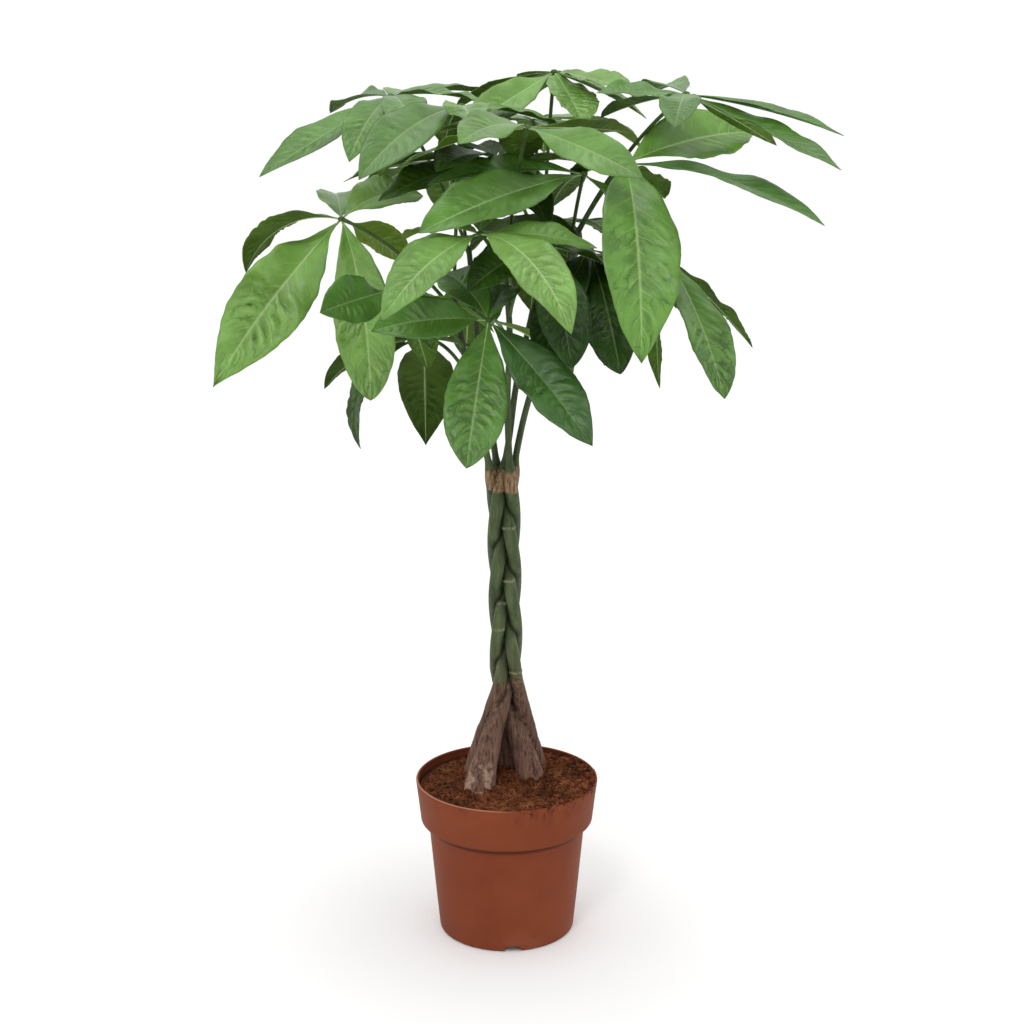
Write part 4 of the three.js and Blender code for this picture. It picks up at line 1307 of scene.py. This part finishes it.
def makeFlatLeaflet(number):
    # a leaflet that others are copied from: x runs from foot to tip, y from edge to edge, both as
    # fractions, and z is its relief. Pleats follow the side veins, weak here and strong there.
    sheet = addPrimitive(bpy.ops.mesh.primitive_grid_add, x_subdivisions=blade["stations"],
                         y_subdivisions=blade["columns"], size=2)
    creases = []
    for vertex in sheet.data.vertices:
        x, y = vertex.co.xy
        t = (x + 1) / 2
        across = abs(y) ** 1.25
        signed = math.copysign(across, y)
        spot = Vector((3.2 * t + 9 * number, signed * 1.3, 4 * number))
        phase = veinPhase(t, across, y > 0) + 0.9 * noise.noise(spot)
        strength = smoothStep(noise.noise(spot * 1.7 + Vector((5, 2, 0))), -0.3, 0.45)
        strength = (0.1 + strength) * mixValue(0.35, 1.7, smoothStep(t, 0.3, 0.6))
        bulge = (abs(math.sin(math.pi * phase)) ** 0.55 - 0.68) * strength
        sag = noise.noise(Vector((6.5 * t, 1.9 * signed, 3.7 * number)))
        # the relief dies out at the midrib, the foot and the tip, and is weaker at the margin
        calm = smoothStep(across, 0.02, 0.2) * (1 - 0.5 * smoothStep(across, 0.6, 1))
        calm *= max(0, math.sin(math.pi * t)) ** 0.5
        vertex.co = (t, signed, (blade["pucker"] * bulge + blade["dent"] * sag * across) * calm)
        creases.append(bulge * calm)
    for face in sheet.data.polygons:
        for corner in face.loop_indices:
            x, y = sheet.data.vertices[sheet.data.loops[corner].vertex_index].co.xy
            sheet.data.uv_layers.active.data[corner].uv = (x, (y + 1) / 2)
    storeValues(sheet.data, "crease", creases)
    return sheet


def leafletCharacter(name, number):
    tone = random.uniform(-1, 1)
    hanging = smoothStep(leaves[name]["leaflets"][number][1], *blade["quiltedSlope"])
    return {
        "model": random.randrange(blade["flatModels"]),
        "waves": random.uniform(*blade["waves"]),
        "waviness": random.uniform(*blade["waviness"]),
        "jag": random.uniform(*blade["jag"]),
        "pucker": random.uniform(*blade["puckering"]) * mixValue(0.6, 1.35, hanging),
        "tone": toneAndPaintedLight.get(name, {}).get(number, tone),
        "seed": random.uniform(0, 20),
        "dry": 1.0 if random.random() < blade["dryTips"] else 0.0,
        "quilt": mixValue(0.15, 1, hanging),
    }


def layLeaflet(flat, hub, leaflet, character):
    # a copy of the flat leaflet, bent along its midrib
    sheet = flat.data.copy()
    width, point = leaflet[4], leaflet[6]
    fold = math.radians(blade["fold"])
    relief = character["pucker"] * width / blade["fullWidth"]
    stations = {}
    for vertex in sheet.vertices:
        t, y, bulge = vertex.co
        key = round(t * 1000)
        if key not in stations:
            stations[key] = (*alongMidrib(hub, leaflet, t), halfWidth(width, point, t))
        place, side, up, half = stations[key]
        across = abs(y)
        wave = noise.noise(Vector((character["waves"] * t + character["seed"], 3 if y > 0 else 0, 0)))
        nick = noise.noise(Vector((17 * t + character["seed"], 5 if y > 0 else 0, 1)))
        lift = half * math.sin(fold) * across * (1.25 - 0.25 * across * across)
        lift += character["waviness"] * half * across ** 2 * 2 * wave + bulge * relief
        out = y * half * (1 + character["jag"] * nick) * math.cos(fold)
        vertex.co = place + side * out + up * lift
    for name in ("tone", "dry", "seed", "quilt"):
        storeValues(sheet, name, [character[name]] * len(sheet.vertices))
    return addToScene("leaflet", sheet)


def stalkSpine(leaf):
    # from the stem just below the joint up to the hub, thicker at both ends
    start = [point for point in stemCurves[leaf["stem"]] if point.z < leaf["joint"]][-1]
    end = Vector(leaf["hub"])
    out, up = stalk["bow"]
    middle = Vector((mixValue(start.x, end.x, out), mixValue(start.y, end.y, out),
                     mixValue(start.z, end.z, up) + leaf["lift"]))
    footStrength, footReach = stalk["footSwelling"]
    hubStrength, hubReach = stalk["hubSwelling"]
    points = []
    radii = []
    for i in range(stalk["steps"] + 1):
        t = i / stalk["steps"]
        points.append((1 - t) ** 2 * start + 2 * t * (1 - t) * middle + t * t * end)
        swelling = footStrength * math.exp(-(t / footReach) ** 2)
        swelling += hubStrength * math.exp(-((1 - t) / hubReach) ** 2)
        radii.append(stalk["radius"] * (stalk["slimness"] + swelling))
    return points, radii


def ribSpine(hub, leaflet):
    # the midrib, a tapered cord that stands a little out of both sides of the blade
    slimness = 0.7 + 0.3 * leaflet[4] / blade["fullWidth"]
    points = []
    radii = []
    for i in range(blade["ribSteps"] + 1):
        t = blade["ribEnd"] * i / blade["ribSteps"]
        place, side, up = alongMidrib(hub, leaflet, t)
        radius = mixValue(blade["ribRadius"], blade["ribTipRadius"], t ** 0.75)
        points.append(place - up * radius * 0.45)
        radii.append(radius * slimness)
    return points, radii


def makeLeaf(name, flats, finishes):
    leaf = leaves[name]
    green = leaf["green"]
    hub = Vector(leaf["hub"])
    grown = grownLeaflets(name)
    characters = [leafletCharacter(name, number) for number in grown]
    laid = []
    for leaflet, character in zip(grown.values(), characters):
        laid.append(layLeaflet(flats[character["model"]], hub, leaflet, character))
    blades = joinPieces(laid)
    skin = blades.modifiers.new("skin", "SOLIDIFY")
    skin.thickness = blade["thickness"]
    skin.offset = 0
    skin.material_offset = 1
    cover(blades, finishes[green + "Top"], finishes[green + "Under"])
    applyModifiers(blades)
    ribs = drawTubes("ribs", [ribSpine(hub, leaflet) for leaflet in grown.values()], stalk["sides"])
    cover(ribs, finishes[green + "Rib"])
    stem = drawTubes("leafStalk", [stalkSpine(leaf)], stalk["sides"])
    cover(stem, finishes["stalk"])
    knuckle = addPrimitive(bpy.ops.mesh.primitive_uv_sphere_add, segments=20, ring_count=12,
                           radius=stalk["hubRadius"], location=hub)
    knuckle.scale.z = stalk["hubFlatness"]
    cover(knuckle, finishes["stalk"])
    piece = joinPieces([blades, ribs, stem, knuckle])
    smoothShade(piece)
    handOver(piece, name.replace("leaf", "palmate_leaf"), "leaf_" + green + "_green", name)
    return len(grown)


def quiltCells(tree, place, t, across, signed):
    # irregular cells that lie along the side veins, another pattern on each leaflet
    along = calcAdd(tree, across, -2.6, times(tree, t, 17))
    along = calcAdd(tree, cloud(tree, place, 60, 3), 1.7, along)
    sidewise = calcAdd(tree, cloud(tree, place, 70, 2), 0.9, times(tree, signed, 1.15))
    inputs = {0: along, 1: sidewise, 2: attributeOf(tree, "seed")}
    return cellEdges(tree, addNode(tree, "ShaderNodeCombineXYZ", inputs).outputs[0], 1)


def fromSideVein(tree, place, t, across, signed):
    # how far a point is from the next side vein, 0 to 0.5, as veinPhase has it and with a little wander
    hook = times(tree, calc(tree, "POWER", across, 3), blade["veinHook"])
    reach = calc(tree, "ADD", times(tree, across, blade["veinSlant"]), hook)
    shift = times(tree, calc(tree, "GREATER_THAN", signed, 0), blade["veinShift"])
    wander = calcAdd(tree, cloud(tree, place, 38, 2), 0.9, shift)
    phase = calcAdd(tree, calc(tree, "SUBTRACT", t, reach), blade["veins"], wander)
    return calc(tree, "PINGPONG", phase, 0.5)


def leafFinish(name, green, sideOf):
    finish, tree = newFinish(name)
    place = objectPlace(tree)
    sheet = addNode(tree, "ShaderNodeSeparateXYZ", {0: addNode(tree, "ShaderNodeTexCoord", {}).outputs["UV"]})
    t = sheet.outputs["X"]
    signed = calcAdd(tree, sheet.outputs["Y"], 2, -1)
    across = calc(tree, "ABSOLUTE", signed)
    dark, light = sideOf["base"]
    base = ramp(tree, cloud(tree, place, 26, 5, 0.6), [(0.34, green[dark]), (0.64, green[light])])
    # painted shade in the creases and a painted highlight on the swellings, where the blade's relief has them
    crease = attributeOf(tree, "crease")
    base = tint(tree, base, green["shade"], 0.75, fade(tree, crease, -0.08, -0.6))
    base = tint(tree, base, green["vein"], 0.3, fade(tree, crease, 0.06, 0.5))
    # quilting towards the tip: painted shade in the wrinkles round painted highlights on the cushions
    cells = quiltCells(tree, place, t, across, signed)
    patchy = times(tree, patches(tree, place, 24, 3, 0.34, 0.6), attributeOf(tree, "quilt"))
    quilted = times(tree, fade(tree, t, 0.24, 0.66), patchy, fade(tree, across, 1.0, 0.8))
    base = tint(tree, base, green["deep"], sideOf["wrinkleShade"], fade(tree, cells, 0.075, 0.0), quilted)
    base = tint(tree, base, green["vein"], sideOf["cushionHighlight"], fade(tree, cells, 0.08, 0.34), quilted)
    # the side veins: short pale lines by the midrib that are lost further out, and a fine net all over
    fromVein = fromSideVein(tree, place, t, across, signed)
    base = tint(tree, base, green["vein"], sideOf["vein"], fade(tree, fromVein, 0.07, 0.01),
                fade(tree, across, 0.75, 0.1), patches(tree, place, 30, 2, 0.34, 0.55))
    net = fade(tree, cellEdges(tree, place, 420), 0.12, 0.0)
    base = tint(tree, base, green["vein"], 0.07, net)
    # paler by the midrib, darker at the margin, with each leaflet's tone, partly painted light and shade, and
    # brown on some tips
    base = tint(tree, base, green["rib"], 0.35, fade(tree, across, 0.07, 0.0))
    base = tint(tree, base, green["shade"], 0.3, fade(tree, across, 0.94, 1.0))
    tone = attributeOf(tree, "tone")
    toned = {"Color": base, "Value": calcAdd(tree, tone, 0.15, 1), "Hue": calcAdd(tree, tone, -0.004, 0.5)}
    base = addNode(tree, "ShaderNodeHueSaturation", toned).outputs["Color"]
    base = tint(tree, base, dryBrown, 0.85, fade(tree, t, 0.972, 0.994), attributeOf(tree, "dry"))
    groove = bumpFrom(tree, fade(tree, fromVein, 0.0, 0.16), 0.16, sideOf["groove"])
    plump = times(tree, fade(tree, cells, 0.0, 0.3), quilted)
    bumps = bumpFrom(tree, net, 0.15, -0.0002, bumpFrom(tree, plump, 0.65, sideOf["quilt"], groove))
    rough = calcAdd(tree, cloud(tree, place, 60, 4), 0.22, sideOf["roughness"])
    plugShader(tree, base, rough, sideOf.get("gloss", green["gloss"]), bumps)
    return finish


def ribFinish(name, green):
    finish, tree = newFinish(name)
    place = objectPlace(tree)
    base = ramp(tree, cloud(tree, place, 60, 3), [(0.3, green["vein"]), (0.6, green["rib"])])
    rough = calcAdd(tree, cloud(tree, place, 200, 3), 0.2, 0.4)
    plugShader(tree, base, rough, 0.5, bumpFrom(tree, cloud(tree, place, 700, 2), 0.3, 0.0002))
    return finish


def stalkFinish():
    finish, tree = newFinish("leafStalk")
    place = objectPlace(tree)
    base = ramp(tree, cloud(tree, place, 50, 4), stalk["tones"])
    base = tint(tree, base, stalk["specks"], 0.4, patches(tree, place, 600, 2, 0.6, 0.72))
    rough = calcAdd(tree, cloud(tree, place, 120, 3), 0.2, 0.46)
    ridges = bumpFrom(tree, cloud(tree, objectPlace(tree, (1, 1, 0.2)), 500, 3), 0.3, 0.0003)
    plugShader(tree, base, rough, 0.25, ridges)
    return finish


def leafFinishes():
    finishes = {"stalk": stalkFinish()}
    for name, green in greens.items():
        finishes[name + "Top"] = leafFinish(name + "LeafTop", green, topSide)
        finishes[name + "Under"] = leafFinish(name + "LeafUnderside", green, underSide)
        finishes[name + "Rib"] = ribFinish(name + "LeafRib", green)
    return finishes


def makeLeaves():
    random.seed(blade["seed"])
    flats = [makeFlatLeaflet(number) for number in range(blade["flatModels"])]
    finishes = leafFinishes()
    count = sum(makeLeaf(name, flats, finishes) for name in leaves)
    for flat in flats:
        bpy.data.objects.remove(flat)
    print("leaves ready:", count, "leaflets")


makeLeaves()
